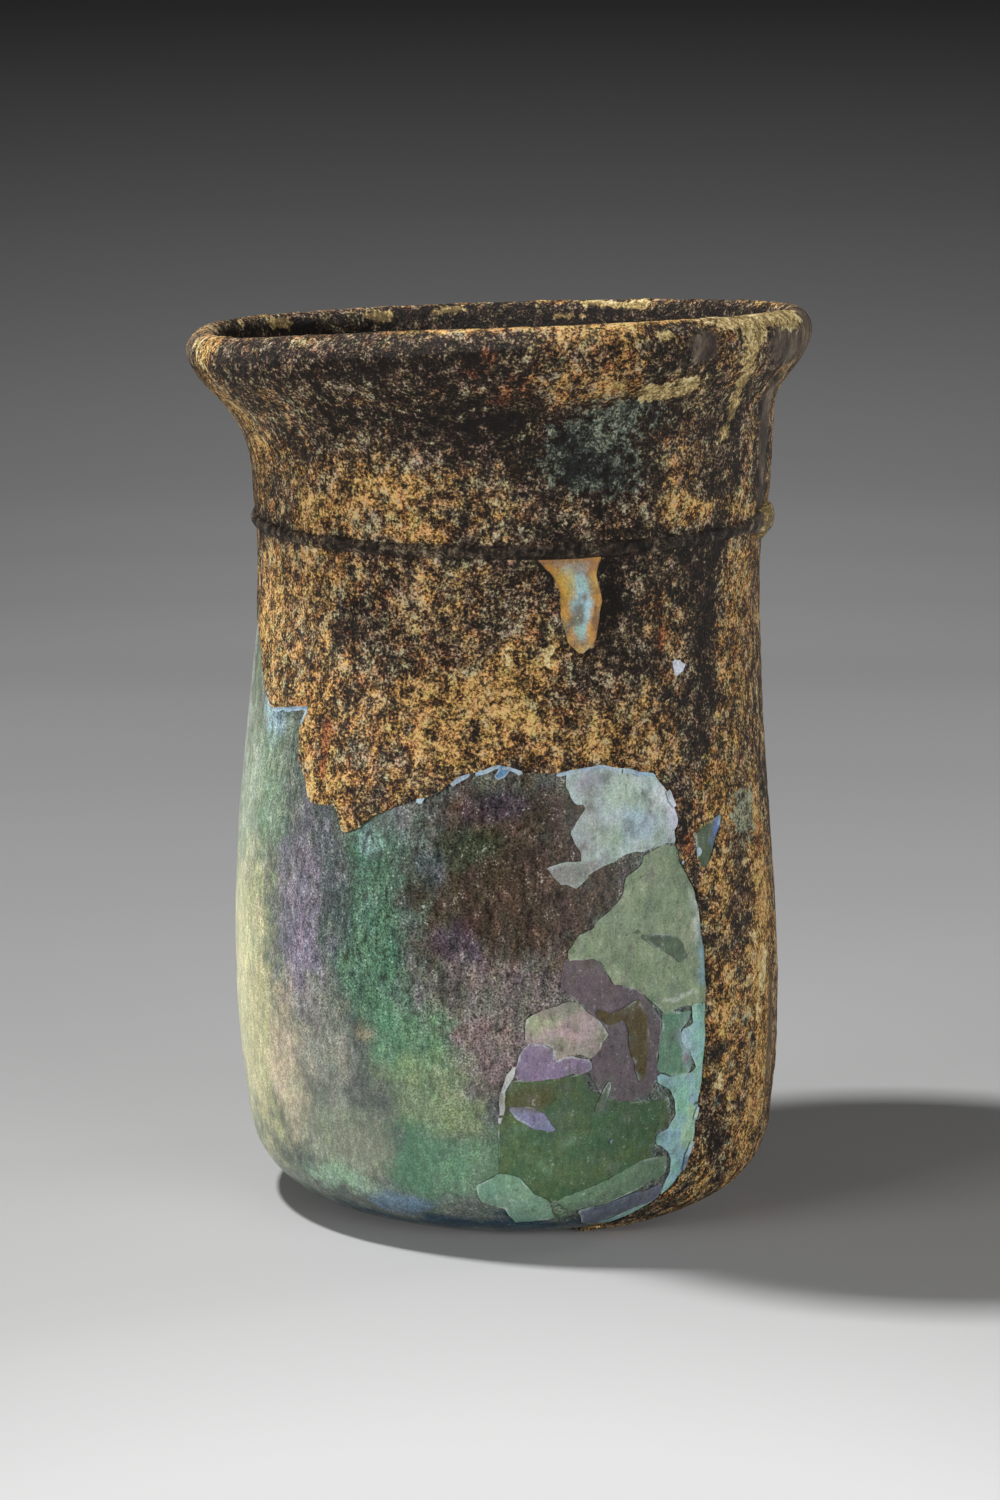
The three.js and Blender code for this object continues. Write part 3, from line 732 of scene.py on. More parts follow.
def crust_material():
    """One value, the sum of three sizes of grain, upright streaks and the ochre attribute, picks a
    colour from near-black through umber to tan, greyer where ochre is scarce, and raises the bump.
    A coloured noise turns the hue. Stains lie over it where their attribute plus the grain passes a
    level."""
    material = bpy.data.materials.new("iron-brown weathering crust")
    material.use_nodes = True
    tree = material.node_tree
    face = tree.nodes["Principled BSDF"]
    where = add_node(tree, "ShaderNodeTexCoord").outputs["Object"]
    streaky = add_node(tree, "ShaderNodeMapping", {"Vector": where, "Scale": (1, 1, 0.4)}).outputs[0]
    noises = {
        title: add_node(tree, "ShaderNodeTexNoise", {
            "Vector": along, "Scale": 1 / (size * MM), "Detail": detail, "Roughness": 0.7,
            "Distortion": 0.2,
        })
        for title, along, size, detail in (
            ("fine", where, 0.3, 3), ("grain", where, 1, 4), ("blotch", where, 4, 5),
            ("hue", where, 1.5, 4), ("streak", streaky, 1.8, 4),
        )
    }
    ochre = add_node(tree, "ShaderNodeAttribute", attribute_name="ochre").outputs["Fac"]
    value = CRUST_LEVEL
    for socket, depth in (
        (noises["fine"].outputs[0], 1.7), (noises["grain"].outputs[0], 1.15),
        (noises["blotch"].outputs[0], 0.85), (noises["streak"].outputs[0], 0.5), (ochre, 0.24),
    ):
        value = add_node(
            tree, "ShaderNodeMath", {0: socket, 1: depth, 2: value}, operation="MULTIPLY_ADD"
        ).outputs[0]
    ramps = {
        title: add_node(
            tree, "ShaderNodeValToRGB", {"Fac": value}, stops=list(zip(CRUST_STOPS, codes))
        ).outputs[0]
        for title, codes in CRUST_COLOURS.items()
    }
    bare = add_node(tree, "ShaderNodeValToRGB", {"Fac": noises["streak"].outputs[0]}, stops=[
        (0.34, "#2c2420"), (0.48, "#4a3f37"), (0.6, "#6f6253"), (0.72, "#9a8b74"),
    ]).outputs[0]
    mixed = add_node(
        tree, "ShaderNodeMath", {0: noises["hue"].outputs[0], 1: 2.6, 2: ochre}, operation="MULTIPLY_ADD"
    ).outputs[0]
    earthy = add_node(
        tree, "ShaderNodeMapRange", {"Value": mixed, "From Min": 1.4, "From Max": 2.1}
    ).outputs[0]
    colour = add_node(
        tree, "ShaderNodeMix", {0: earthy, 6: ramps["grey"], 7: ramps["ochre"]}, data_type="RGBA"
    ).outputs[2]
    turn = add_node(tree, "ShaderNodeVectorMath", {
        0: noises["hue"].outputs["Color"], 1: (0.8, 0.8, 0.8), 2: (0.6, 0.6, 0.6),
    }, operation="MULTIPLY_ADD").outputs[0]
    colour = add_node(tree, "ShaderNodeVectorMath", {0: colour, 1: turn}, operation="MULTIPLY").outputs[0]
    shares = {}
    for title, over, broken, start, end, most in (
        ("rust", ramps["rust"], 1.8, 0.35, 0.75, 0.8), ("sage", ramps["sage"], 4, 0.55, 0.8, 0.85),
        ("skin", bare, 1.4, 0.35, 0.8, 0.9), ("cream", ramps["cream"], 2, 0.4, 0.65, 0.95),
    ):
        stain = add_node(tree, "ShaderNodeAttribute", attribute_name=title).outputs["Fac"]
        reach = add_node(tree, "ShaderNodeMath", {
            0: noises["grain"].outputs[0], 1: broken, 2: stain,
        }, operation="MULTIPLY_ADD").outputs[0]
        shares[title] = add_node(tree, "ShaderNodeMapRange", {
            "Value": reach, "From Min": broken / 2 + start, "From Max": broken / 2 + end,
            "To Min": 0, "To Max": most,
        }, interpolation_type="SMOOTHSTEP").outputs[0]
        colour = add_node(
            tree, "ShaderNodeMix", {0: shares[title], 6: colour, 7: over}, data_type="RGBA"
        ).outputs[2]
    dull = add_node(tree, "ShaderNodeMapRange", {
        "Value": value, "From Min": 0.3, "From Max": 0.65, "To Min": 0.55, "To Max": 0.85,
    }).outputs[0]
    rough = add_node(
        tree, "ShaderNodeMath", {0: shares["skin"], 1: -0.22, 2: dull}, operation="MULTIPLY_ADD"
    ).outputs[0]
    height = add_node(
        tree, "ShaderNodeMath", {0: shares["skin"], 1: -0.2, 2: value}, operation="MULTIPLY_ADD"
    ).outputs[0]
    relief = add_node(
        tree, "ShaderNodeBump", {"Height": height, "Strength": 0.9, "Distance": 0.32 * MM}
    ).outputs[0]
    tree.links.new(colour, face.inputs["Base Color"])
    tree.links.new(rough, face.inputs["Roughness"])
    tree.links.new(relief, face.inputs["Normal"])
    face.inputs["IOR"].default_value = 1.46
    face.inputs["Specular IOR Level"].default_value = 0.22
    return material


crust_look = crust_material()


def crust_piece(name, angle, run, level):
    """A piece of crust cut from a grid, with its finish, relief and underside. Nothing stands out
    under the base, so the vessel rests on it."""
    angle, run, triangles, rim = broken_grid(angle, run, level, closed=True)
    points = place(angle, run, 0)
    ochre, sage, cream, rust, skin = crust_finish(angle, run, points)
    relief = crust_relief(points, ochre, skin)
    under_base = run < FOOT_RADIUS + 1
    relief = np.where(under_base, np.minimum(relief, 0), relief)
    piece = shell_piece(
        name, angle, run, triangles, rim, relief, -CRUST_SINK + 0 * run,
        crust_look, ochre=ochre, sage=sage, cream=cream, rust=rust, skin=skin,
    )
    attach(piece, "root")
    return piece


def body_level(angle, run, points):
    """How far inside the crust a place is: outside the flaked patch, spall, chip and split, and
    off the bare middle of the base. Noise frays the broken edges."""
    fray = 0.55 * cloud(points, 2.6, 71, 3, 0.6)
    level = np.minimum(-from_outline(angle, run, FLAKED_PATCH) + fray, run - BASE_RING + 2 * fray)
    level = np.minimum(level, -from_outline(angle, run, SPALL) + 0.5 * fray)
    level = np.minimum(level, -from_outline(angle, run, SPLIT) + 0.15 * fray)
    return np.minimum(level, -from_outline(angle, run, CHIP) + 0.15 * fray)


body_share = np.linspace(0, 1, int((run_at(THREAD_HEIGHT) - BASE_RING) / CRUST_STEP) + 6)
body_angle, body_share = np.meshgrid(np.arange(BODY_COLUMNS) * 360 / BODY_COLUMNS - 180, body_share)
body_run = BASE_RING - 3 + (thread_run(body_angle) - BASE_RING + 3) * body_share
crust_body = crust_piece(
    "crust_body", body_angle, body_run, body_level(body_angle, body_run, place(body_angle, body_run, 0))
)

# The crust of the neck and the lip: the same skin, unbroken from the thread over the fire-rounded
# rim and a thumb's width down the inside, where its edge is frayed.
NECK_COLUMNS = 380
NECK_STEP = 0.5
NECK_INSIDE_HEIGHT = 80

neck_end = inner_run_at(NECK_INSIDE_HEIGHT)
neck_share = np.linspace(0, 1, int((neck_end - run_at(THREAD_HEIGHT)) / NECK_STEP))
neck_angle, neck_share = np.meshgrid(np.arange(NECK_COLUMNS) * 360 / NECK_COLUMNS - 180, neck_share)
neck_run = thread_run(neck_angle) + (neck_end - thread_run(neck_angle)) * neck_share
neck_fray = cloud(place(neck_angle, neck_run, 0), 5, 81)
crust_neck = crust_piece("crust_neck", neck_angle, neck_run, neck_end - 2 - neck_run + 2.5 * neck_fray)

# The crust inside: a thinner lining on the inner wall and the floor, which leaves a small bare
# place in the middle of the floor.
LINING_COLUMNS = 250
LINING_STEP = 0.75
LINING_SINK = 0.35
LINING_BARE_RADIUS = 5

lining_start = neck_end - 5
lining_end = FLOOR_RUN - 2
lining_angle, lining_run = np.meshgrid(
    np.arange(LINING_COLUMNS) * 360 / LINING_COLUMNS - 180,
    np.linspace(lining_start, lining_end, int((lining_end - lining_start) / LINING_STEP)),
)
lining_fray = cloud(place(lining_angle, lining_run, 0), 4, 91)
lining_angle, lining_run, lining_faces, lining_rim = broken_grid(
    lining_angle, lining_run, FLOOR_RUN - LINING_BARE_RADIUS - lining_run + 2 * lining_fray, closed=True
)
lining_points = place(lining_angle, lining_run, 0)
lining_ochre = np.clip(0.38 + 1.1 * cloud(lining_points, 8, 95, 4, 0.6), 0, 1)
crust_lining = shell_piece(
    "crust_lining", lining_angle, lining_run, lining_faces, lining_rim,
    crust_relief(lining_points, lining_ochre, 0) - 0.1, -LINING_SINK + 0 * lining_run,
    crust_look, ochre=lining_ochre,
)
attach(crust_lining, "root")

# The thread: one trail of hot glass wound round the neck, where it fused on. Its two ends overlap
# at the right in a folded knob. It is under the same crust.
THREAD_RADIUS = 0.9
THREAD_PROUD = 0.45
THREAD_COLUMNS = 420
THREAD_SIDES = 20
KNOB_ANGLE = 76
KNOB_LENGTH = 6.4

thread_angle, thread_side = np.meshgrid(
    np.arange(THREAD_COLUMNS) * 360 / THREAD_COLUMNS - 180,
    np.arange(THREAD_SIDES) * 2 * math.pi / THREAD_SIDES,
    indexing="ij",
)
from_knob = ((thread_angle - KNOB_ANGLE + 180) % 360 - 180) * MM_PER_DEGREE
knob = np.exp(-((from_knob / (KNOB_LENGTH / 2)) ** 4))
core_run = thread_run(thread_angle)
core = place(thread_angle, core_run, 0)
uneven = 1 + 0.18 * cloud(core, 9, 101, 2)
fold = 0.35 * np.sin(from_knob * 1.9 + 1) * knob
thread_thick = THREAD_RADIUS * uneven * (1 + 0.85 * knob)
thread_core_lift = THREAD_PROUD - THREAD_RADIUS + 0.5 * knob
thread_lift = thread_core_lift + thread_thick * np.cos(thread_side) * (1 - 0.3 * knob)
thread_along = core_run + fold + thread_thick * np.sin(thread_side)
thread_points = place(thread_angle, thread_along, 0)
thread_lift = thread_lift + 0.09 * cloud(thread_points, 1.4, 105, 3, 0.6)
ring = np.arange(thread_angle.size).reshape(thread_angle.shape)
ring_next, side_next = np.roll(ring, -1, axis=0), np.roll(ring, -1, axis=1)
thread_faces = [np.stack([ring, ring_next, np.roll(ring_next, -1, axis=1), side_next], -1).reshape(-1, 4)]
thread_finish = crust_finish(thread_angle.ravel(), thread_along.ravel(), thread_points.reshape(-1, 3))
thread_cream = np.clip(knob * (0.7 - 0.5 * np.sin(from_knob)), 0, 1).ravel()
neck_thread = mesh_piece(
    "neck_thread", place(thread_angle, thread_along, thread_lift).reshape(-1, 3), thread_faces, crust_look,
    ochre=thread_finish[0] - 0.3, cream=np.maximum(thread_cream, thread_finish[2]), rust=thread_finish[3],
    sage=thread_finish[1], skin=np.clip(0.45 + knob.ravel() + thread_finish[4], 0, 1),
)
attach(neck_thread, "root")

# The opal films: what is left on the bare glass of the layers under the crust, each thinner than
# paper, with crisp broken outlines. They shine pale blue, mint and violet.
FILM_STEP = 0.3
FILM_THICKNESS = 0.06
FILM_LIFT = 0.03
SLIVER_WIDTH = 0.36
SLIVER = ("#a7b9c6", "#8ba6b8", 0.9)

# Each film's first and second colour, its cover, and its outline as angles and heights
FILMS = {
    "mauve": ("#544a50", "#64585f", 0.85, [
        (12, 33), (15, 33.5), (18, 33), (21, 32.5), (21, 31), (22, 30), (26, 29.5), (29, 28.5), (31, 27),
        (33, 25.5), (33, 23.5), (32, 21), (32, 19.5), (30, 17), (23, 17), (19, 18), (17, 20), (17, 22),
        (20, 24), (21, 24.5), (19, 26), (14, 28.5), (11, 30),
    ]),
    "low_green": ("#38543b", "#4d5c39", 0.85, [
        (1, 20), (7, 20), (15, 20.5), (17, 18.5), (23, 17), (32, 16.5), (35, 16.5), (35, 13.5), (32, 13),
        (31, 10), (24, 7), (11, 5.5), (-2, 7.5), (-2, 14.5), (-1, 18),
    ]),
    "teal_right": ("#567a64", "#6b8f76", 0.85, [
        (33, 26.5), (38, 26), (41, 26), (40, 25), (38, 24), (38, 22.5), (40, 21.5), (41, 20), (40, 19),
        (35, 19), (32, 20), (32, 22), (33, 24.5),
    ]),
    "yellow_green": ("#89957a", "#73856a", 0.88, [
        (35, 44.5), (38, 44), (38, 43), (40, 41.5), (42, 40), (43, 38.5), (44, 37), (44, 35.5), (45.5, 33.5),
        (45.5, 26.5), (41, 26.5), (38, 26.5), (34, 26), (32, 27), (29, 28.5), (26, 29.5), (22, 30),
        (21, 31.5), (20, 32.5), (18, 33), (13, 33), (13, 34), (15, 35.5), (18, 36), (19, 37), (22, 38),
        (24, 39), (25, 40), (26, 41.5), (29, 42.5), (30, 43.5),
    ]),
    "opal_white": ("#a6b5b6", "#9bad9f", 0.93, [
        (13, 53.5), (18, 54), (28, 53.6), (33, 52.4), (37, 50.5), (39.5, 48.5), (40, 46.5), (38, 46),
        (38, 44.5), (35, 44.5), (30, 44), (27, 44), (22, 43), (20, 42.5), (18, 42), (16, 41), (15, 40.5),
        (13, 41), (12, 41), (10, 42), (9, 43), (13, 43.5), (16, 43.5), (16, 44.5), (15, 45.5), (14, 46.5),
        (15, 47.5), (17, 49), (17, 49.5), (15, 49.5), (14, 50.5), (13, 51.5),
    ]),
    "mint_strip": ("#87b79c", "#86a7b5", 0.95, [
        (45, 26.5), (41, 26.5), (41, 24.5), (38, 24), (38, 22.5), (40, 21.5), (41, 20.5), (42, 19.5),
        (41, 19), (35, 19), (32, 19.5), (32, 18.5), (35, 17.5), (37, 16), (37, 14.5), (35, 13), (32, 12.5),
        (32, 11.5), (35, 10.5), (36, 9.5), (36, 8), (35, 6), (35, 5), (32, 4.5), (28, 3.5), (22, 2),
        (28, 1.8), (33, 3), (36, 4.8), (40, 7), (42, 9.5), (43, 12), (44, 16), (44.5, 20), (45.5, 23.5),
    ]),
    "pink_grey": ("#92827f", "#838676", 0.9, [
        (4, 27), (5, 27), (7, 27.5), (10, 28), (12, 28.5), (14, 28.5), (17, 27), (19, 26), (21, 24.5),
        (20, 24), (19, 23), (17, 22), (15, 22.5), (13, 22.5), (11, 22), (10, 22), (9, 23.5), (7, 24),
        (4, 24), (4, 25.5),
    ]),
    "violet": ("#75667f", "#82748e", 0.85, [
        (3, 23.5), (5, 24), (7, 24), (9, 23.5), (10, 22), (13, 22.5), (17, 22), (17, 21), (15, 20.5),
        (13, 20.5), (10, 20), (7, 20), (3, 20), (1, 20.5),
    ]),
    "violet_flake": ("#7c7b99", "#727292", 0.85, [(0, 17), (5, 17), (8, 16), (10, 14), (6, 14.5), (2, 15.5)]),
    "pale_band": ("#5f7c60", "#6d8a6b", 0.6, [
        (10, 6), (20, 8), (29, 10), (35, 10), (35, 8), (28, 6.5), (21, 5), (13, 4.5),
    ]),
    "mint_low": ("#6f9480", "#83a68c", 0.65, [
        (-2, 9.5), (2, 9), (5, 7), (8, 6), (10, 3.5), (1, 3), (-1, 5), (-6, 6), (-7, 8),
    ]),
    "lilac_heel": ("#555a69", "#666b7c", 0.85, [
        (15, 4.5), (21, 5), (27, 6), (34, 6.5), (35, 6), (34, 4.5), (30, 4), (24, 3), (20, 2), (17, 2.5),
    ]),
    "arrowhead": ("#463c22", "#54482a", 0.92, [
        (18.2, 27.9), (21.3, 26.8), (24, 27.4), (27.8, 28), (29, 26.6), (29.7, 24.5), (29.7, 22.4),
        (28.8, 20), (28, 18.8), (26.8, 20.4), (25.7, 22), (25.1, 24.4), (24.3, 26), (20.8, 25.7),
        (18.5, 26.7),
    ]),
    "arrow_mate": ("#4b5748", "#566152", 0.85, [
        (17.5, 16.2), (18.5, 17.3), (20, 18.9), (21.5, 19.8), (21, 18.3), (20, 16.6), (18.6, 15.9),
    ]),
    "leaf": ("#4d5d4a", "#5a6c55", 0.85, [
        (28, 36), (29, 35), (32, 35), (37, 34.5), (39, 33.5), (40, 32), (38, 31.5), (35, 32.5),
        (32, 33.5), (29, 34.5), (27, 35.5),
    ]),
    "spall_opal": ("#8fb2bd", "#86a096", 0.95, [
        (2, 77), (9, 76.6), (21, 76.8), (20, 73.5), (21.5, 71), (20.5, 68.5), (20, 66), (16, 64.8),
        (12, 66), (10, 69.5), (10, 72), (8, 73.6), (4, 75),
    ]),
    "blue_flakes": ("#5f86a8", "#4f7393", 0.9, [
        (-2, 52.6), (-1.2, 53.6), (0.4, 54.6), (2.4, 54.8), (1.6, 53.6), (0.2, 52.6), (-1, 52.3),
    ]),
    "violet_fleck": ("#66598f", "#54507c", 0.8, [(-6.4, 52.6), (-5.6, 53.6), (-4.4, 53.4), (-5, 52.6)]),
    "blue_streak": ("#8796b4", "#7d8aa6", 0.8, [(20.6, 14.2), (21.4, 14.2), (21.8, 12.4), (21, 12.2)]),
    "split_green": ("#3f4d3b", "#55634a", 0.95, [
        (43.4, 45.6), (46.6, 46.5), (49.6, 47), (53.4, 47.4), (52, 45.2), (50.2, 44), (48.8, 42.4),
        (47, 40.8), (44.4, 40.7), (43.6, 43.1),
    ]),
    "chip_white": ("#cfcdd6", "#bfc3d0", 1, [(37, 64.8), (41, 64.2), (44, 63.2), (38.5, 61.8)]),
    "white_arc": ("#b4b6b0", "#9c9fa0", 0.8, [
        (3.2, 23.2), (1.6, 20.7), (-0.4, 18.7), (-0.6, 16.6), (-2, 14.6), (-1.6, 16.6), (-1.4, 18.7),
        (0.4, 20.8), (1.4, 22.2),
    ]),
}

# Films with a stained margin a millimetre wide, and its colour
EDGED_FILMS = {"spall_opal": "#a87a34"}

# Stains within the films, in the same form as the glass's clouds
FILM_CLOUDS = [
    ("#8b8a96", 17.8, 51.8, 1.8, 1.8, 0.9),
    ("#9fb2a4", 24, 50.5, 3.5, 1.6, 0.7),
    ("#93a9b8", 29, 47, 2.6, 2, 0.7),
    ("#c3c2d2", 38, 48, 1.2, 3, 0.8),
    ("#8b9a86", 22, 45.5, 3, 1.2, 0.6),
    ("#7d8f76", 20, 37, 4, 1.2, 0.6),
    ("#7fa4b4", 44.6, 33, 0.9, 5, 0.7),
    ("#b39aa0", 13, 25.5, 3, 1.4, 0.7),
    ("#9aa582", 6, 26.4, 2, 0.9, 0.7),
    ("#4e4a24", 5, 18, 3.4, 1.6, 0.8),
    ("#35563a", 25, 14, 3.5, 2.4, 0.6),
    ("#a3bf8c", 40.5, 13.5, 1.2, 1.6, 0.6),
    ("#a9b7c9", 40, 22, 1, 4, 0.5),
    ("#5b6b8c", 40, 9, 1.2, 1.6, 0.5),
    ("#a88d3c", 12, 73, 1, 2, 0.7),
    ("#b39a52", 18, 66, 1.6, 0.8, 0.8),
    ("#5d4a34", 15, 69.6, 0.7, 0.7, 0.8),
    ("#7a5638", 9, 75.8, 3, 0.7, 0.8),
    ("#8d6a4c", 16, 75.2, 3, 0.8, 0.7),
    ("#c59c4c", 19.5, 73.4, 0.6, 1.2, 0.8),
    ("#6b4a26", 20.3, 69.4, 0.6, 1.4, 0.8),
    ("#c9a04a", 12, 68.2, 0.6, 1.4, 0.8),
    ("#6c5140", 16.5, 71.6, 0.8, 0.7, 0.8),
    ("#8a6a48", 14.5, 67.4, 0.8, 0.8, 0.7),
    ("#75726f", 13.5, 42.4, 4.5, 1.4, 0.8),
    ("#8f9493", 16.5, 46.5, 1.6, 2.6, 0.7),
    ("#b9a560", 48.4, 46.4, 2.2, 0.5, 0.8),
    ("#5a6e9c", 50, 45, 0.5, 1.4, 0.9),
    ("#5a6a8c", 48.2, 43.2, 0.4, 0.8, 0.8),
    ("#8d7f84", 39.7, 19.9, 0.5, 0.5, 0.8),
    ("#20261f", 41.9, 15.2, 0.25, 0.25, 1),
    ("#cfd3cc", 42.5, 36, 0.5, 2.4, 0.6),
    ("#c9d0c6", 38, 28.2, 2, 0.3, 0.6),
    ("#dfe2e6", 36, 50, 2, 2, 0.5),
]


def film_grid():
    """The grid that all films are cut from, over the front of the flaked patch,
    the spall, the chip and the split."""
    angles = np.arange(-64, 56, FILM_STEP / MM_PER_DEGREE)
    return np.meshgrid(angles, np.arange(run_at(0.5), run_at(77.5), FILM_STEP))


def films_mesh():
    """All films' places, faces, open edges, lifts and colours, one film after another, each laid a
    little higher than the last. A film blends from its first colour to its second by noise, lets
    the glass show through by what its cover leaves, and is painted paler along its edge, a painted
    highlight where the edge catches the light. The last film is a sliver along the crust's broken
    edge, cut into lengths by noise and a few spots."""
    found = []
    start = 0
    grid_angle, grid_run = film_grid()
    grid_points = place(grid_angle, grid_run, 0)
    ragged = [
        0.3 * cloud(grid_points, 2, seed, 2) + 0.14 * cloud(grid_points, 0.7, seed + 2, 2)
        for seed in (120, 126)
    ]
    levels = [
        from_outline(grid_angle, grid_run, outline) + ragged[order % 2]
        for order, (*_, outline) in enumerate(FILMS.values())
    ]
    from_crust = np.abs(body_level(grid_angle, grid_run, grid_points) + SLIVER_WIDTH / 3)
    broken = 1.6 * cloud(grid_points, 3.5, 131, 3) + 1.1 * spots(grid_angle, grid_run, [
        (0, 53, 8, 3, 0.7), (-10, 50.5, 2, 2, 0.6), (-57, 57.5, 5, 3, 0.8), (26, 53, 6, 2, 0.8),
        (41, 44, 3, 3, 0.4),
    ]) - 0.45
    levels.append(np.minimum(SLIVER_WIDTH - from_crust, broken))
    colours = [film[:3] for film in FILMS.values()] + [SLIVER]
    for order, (level, (first, second, cover)) in enumerate(zip(levels, colours)):
        edged = order < len(FILMS) and list(FILMS)[order] in EDGED_FILMS
        angle, run, triangles, rim = broken_grid(grid_angle, grid_run, level, closed=False)
        points = place(angle, run, 0)
        inward = np.zeros(len(angle), bool)
        inward[rim] = True
        share = ease(0.5 + 1.3 * cloud(points, 3, 150 + order, 4, 0.7))[:, None]
        colour = linear(first) + share * (linear(second) - linear(first))
        if edged:
            outline = list(FILMS.values())[order][3]
            deep = ease((from_outline(angle, run, outline) + 0.9 * cloud(points, 1.6, 210, 3) - 1.3) / 0.8)
            colour = linear(EDGED_FILMS[list(FILMS)[order]]) * (1 - deep[:, None]) + deep[:, None] * colour
        colour = laid_over(colour, FILM_CLOUDS, angle, run, points)
        under = glass_tint(angle, run, points)
        thick = cover * ease(0.9 + 1.2 * cloud(points, 2.2, 170 + order, 3, 0.7))[:, None]
        colour = under + thick * (colour - under)
        # A painted highlight: the films' open edges are made paler, as if they caught the light.
        edge_glint = np.clip(2 * cloud(points[inward], 3, 190 + order, 3), 0, 0.5)[:, None]
        colour[inward] += edge_glint * (linear("#c2ccc6") - colour[inward])
        lift = -CRUST + glass_wave(points) + FILM_LIFT + 0.012 * order
        found.append((angle, run, triangles + start, rim + start, lift, colour))
        start += len(angle)
    return [np.concatenate(part) for part in zip(*found)]


film_angle, film_run, film_faces, film_rim, film_lift, film_colour = films_mesh()
opal_films = shell_piece(
    "opal_films", film_angle, film_run, film_faces, film_rim, film_lift + FILM_THICKNESS, film_lift,
    bare_glass("opal weathering film", 0.14, 0.3, 0.35), tint=film_colour,
)
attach(opal_films, "root")

# The studio: a sweep of paper, flat under the vessel and curved up to a wall all round. A small key
# high at the left throws the clear shadow. Two broad lights stand in front, two weak strips at the
# sides, and one light over the paper behind.
SWEEP_FLAT = 900
SWEEP_CURVE = 400
SWEEP_HEIGHT = 1500
KEY_PLACE = (-200, 20, 500)

sweep_profile = np.vstack([
    np.stack([np.linspace(0, SWEEP_FLAT, 40)[1:], np.zeros(39)], 1),
    quarter((SWEEP_FLAT, SWEEP_CURVE), SWEEP_CURVE, SWEEP_CURVE, -1, 0)[1:],
    [(SWEEP_FLAT + SWEEP_CURVE, SWEEP_HEIGHT)],
])
sweep_turn = np.arange(96) * 2 * math.pi / 96
sweep_points = np.stack([
    sweep_profile[:, :1] * np.cos(sweep_turn),
    sweep_profile[:, :1] * np.sin(sweep_turn),
    np.repeat(sweep_profile[:, 1:], 96, axis=1),
], -1).reshape(-1, 3)
sweep_index = np.arange(len(sweep_points)).reshape(-1, 96)
sweep_next = np.roll(sweep_index, -1, axis=1)
sweep_faces = [
    np.stack([sweep_index[:-1], sweep_index[1:], sweep_next[1:], sweep_next[:-1]], -1).reshape(-1, 4),
    np.stack([sweep_index[0], sweep_next[0], np.full(96, len(sweep_points))], -1),
]

# Matt paper with a painted falloff: pale round the vessel and painted darker far off, as a studio light
# falls off there. This painted shade is a ramp of the distance from a point 150 mm in front of the vessel,
# with heights counted eight times. Nearby it is raised with the distance from the key, whose light falls
# off there. Far in front of the vessel, where only other views look, it is lowered.
paper = bpy.data.materials.new("matt paper with painted falloff")
paper.use_nodes = True
paper_tree = paper.node_tree
paper_where = add_node(paper_tree, "ShaderNodeTexCoord").outputs["Object"]
paper_spot = add_node(
    paper_tree, "ShaderNodeMapping", {"Vector": paper_where, "Location": (0, 0.15, 0), "Scale": (1, 1, 8)}
).outputs[0]
paper_reach = add_node(
    paper_tree, "ShaderNodeVectorMath", {0: paper_spot}, operation="LENGTH"
).outputs["Value"]
paper_share = add_node(
    paper_tree, "ShaderNodeMapRange", {"Value": paper_reach, "From Min": 0, "From Max": 2}
).outputs[0]
paper_painted_falloff = add_node(paper_tree, "ShaderNodeValToRGB", {"Fac": paper_share}, stops=[
    (0.032, 0.575), (0.057, 0.43), (0.085, 0.368), (0.124, 0.31), (0.158, 0.281), (0.215, 0.272),
    (0.263, 0.295), (0.303, 0.29), (0.351, 0.226), (0.411, 0.187), (0.489, 0.181), (0.525, 0.188),
    (0.558, 0.165), (0.593, 0.145), (0.627, 0.128), (0.669, 0.114), (0.738, 0.099), (0.816, 0.071),
    (0.874, 0.054), (0.925, 0.04), (1, 0.0232),
]).outputs[0]
paper_from_key = add_node(
    paper_tree, "ShaderNodeVectorMath", {0: paper_where, 1: Vector(KEY_PLACE) * MM}, operation="DISTANCE"
).outputs["Value"]
paper_far = add_node(
    paper_tree, "ShaderNodeMath", {0: paper_from_key, 1: Vector(KEY_PLACE).length * MM}, operation="DIVIDE"
).outputs[0]
paper_power = add_node(paper_tree, "ShaderNodeMapRange", {
    "Value": paper_reach, "From Min": 0, "From Max": 1.5, "To Min": 2.3, "To Max": 0,
}).outputs[0]
paper_gain = add_node(
    paper_tree, "ShaderNodeMath", {0: paper_far, 1: paper_power}, operation="POWER"
).outputs[0]
paper_depth = add_node(paper_tree, "ShaderNodeSeparateXYZ", {0: paper_where}).outputs["Y"]
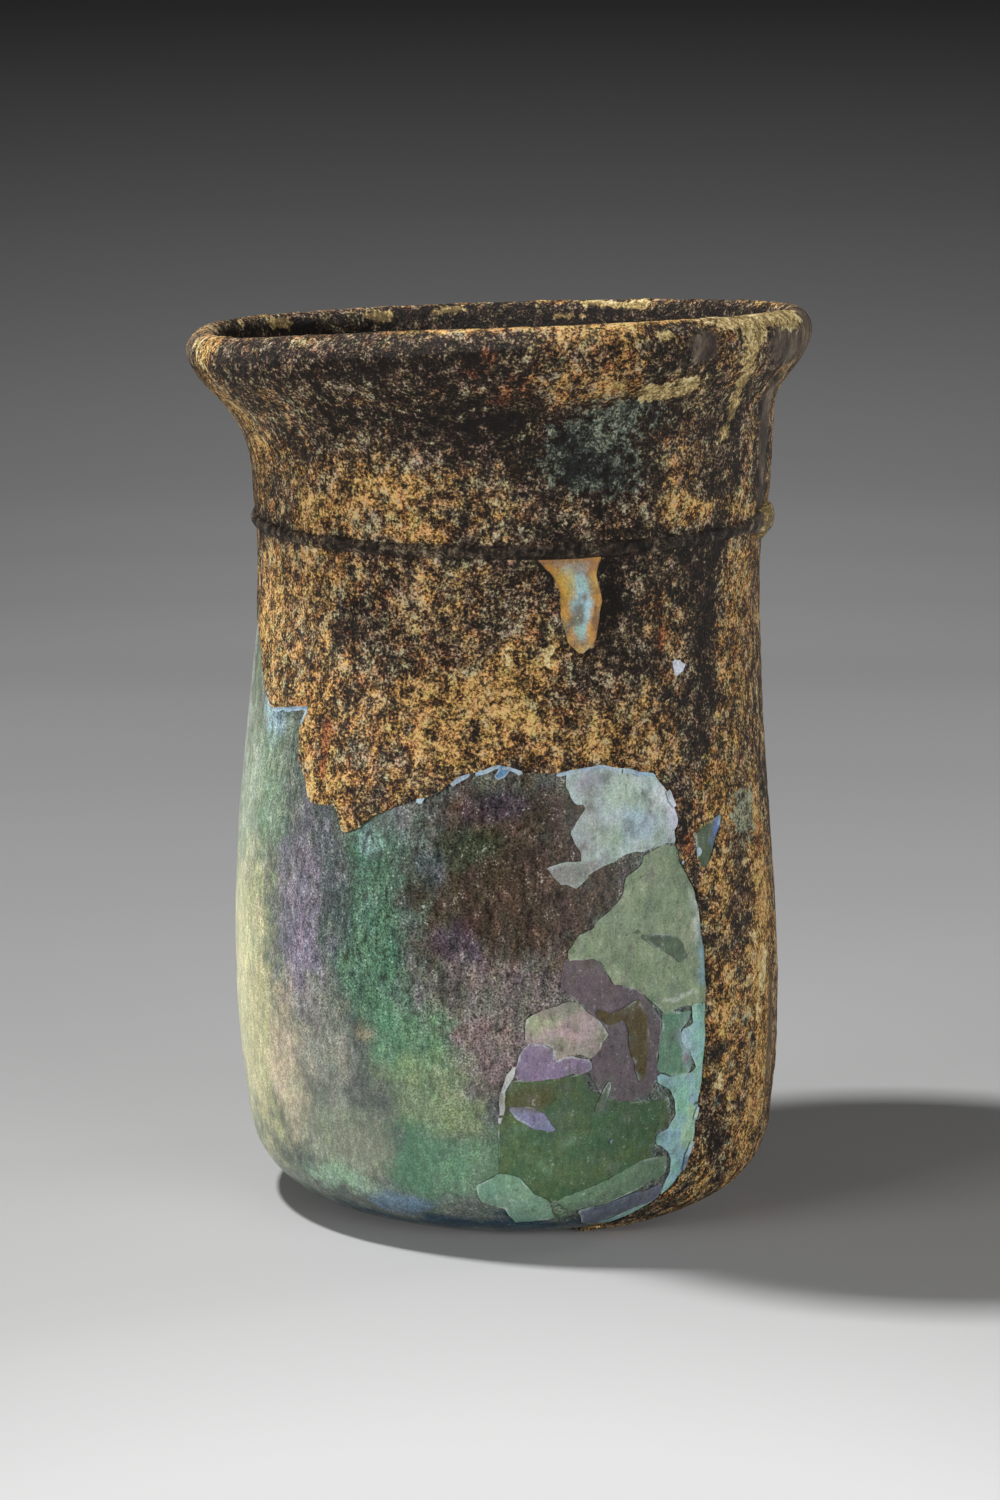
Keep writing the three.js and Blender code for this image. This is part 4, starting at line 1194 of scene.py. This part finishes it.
paper_front = add_node(paper_tree, "ShaderNodeMapRange", {
    "Value": paper_depth, "From Min": -0.9, "From Max": -0.25, "To Min": 0.45, "To Max": 1,
}).outputs[0]
paper_both = add_node(
    paper_tree, "ShaderNodeMath", {0: paper_gain, 1: paper_front}, operation="MULTIPLY"
).outputs[0]
paper_even = add_node(
    paper_tree, "ShaderNodeVectorMath", {0: paper_painted_falloff, "Scale": paper_both}, operation="SCALE"
).outputs[0]
paper_tree.links.new(paper_even, paper_tree.nodes["Principled BSDF"].inputs["Base Color"])
paper_tree.nodes["Principled BSDF"].inputs["Roughness"].default_value = 0.95
paper_tree.nodes["Principled BSDF"].inputs["Specular IOR Level"].default_value = 0.1
studio_sweep = mesh_piece("studio_sweep", np.vstack([sweep_points, [(0, 0, 0)]]), sweep_faces, paper)


def softbox(name, place_mm, target_mm, width, height, power, spread=180):
    """An area light that doesn't show itself, aimed at a point. A grid narrows it to its spread."""
    light = bpy.data.lights.new(name, "AREA")
    light.shape = "RECTANGLE"
    light.size, light.size_y = width * MM, height * MM
    light.energy = power
    light.spread = math.radians(spread)
    lamp = bpy.data.objects.new(name, light)
    lamp.location = Vector(place_mm) * MM
    lamp.rotation_euler = (Vector(target_mm) - Vector(place_mm)).to_track_quat("-Z", "Y").to_euler()
    lamp.visible_camera = False
    bpy.context.scene.collection.objects.link(lamp)


softbox("key", KEY_PLACE, (0, 0, 40), 40, 40, 3.2)
softbox("left front", (-800, -520, 200), (0, 0, 55), 460, 200, 1.7, 90)
softbox("right front", (650, -640, 200), (0, 0, 55), 800, 260, 1.65, 90)
softbox("left edge", (-420, 330, 110), (0, 0, 50), 80, 200, 0.15)
softbox("right edge", (460, 200, 120), (0, 0, 60), 60, 220, 0.45)
softbox("backdrop", (0, 420, 620), (0, 1200, 150), 500, 120, 2, 120)

world = bpy.data.worlds.new("studio air")
world.use_nodes = True
world.node_tree.nodes["Background"].inputs["Color"].default_value = (*linear("#8c8c8c"), 1)
world.node_tree.nodes["Background"].inputs["Strength"].default_value = 0.12
bpy.context.scene.world = world
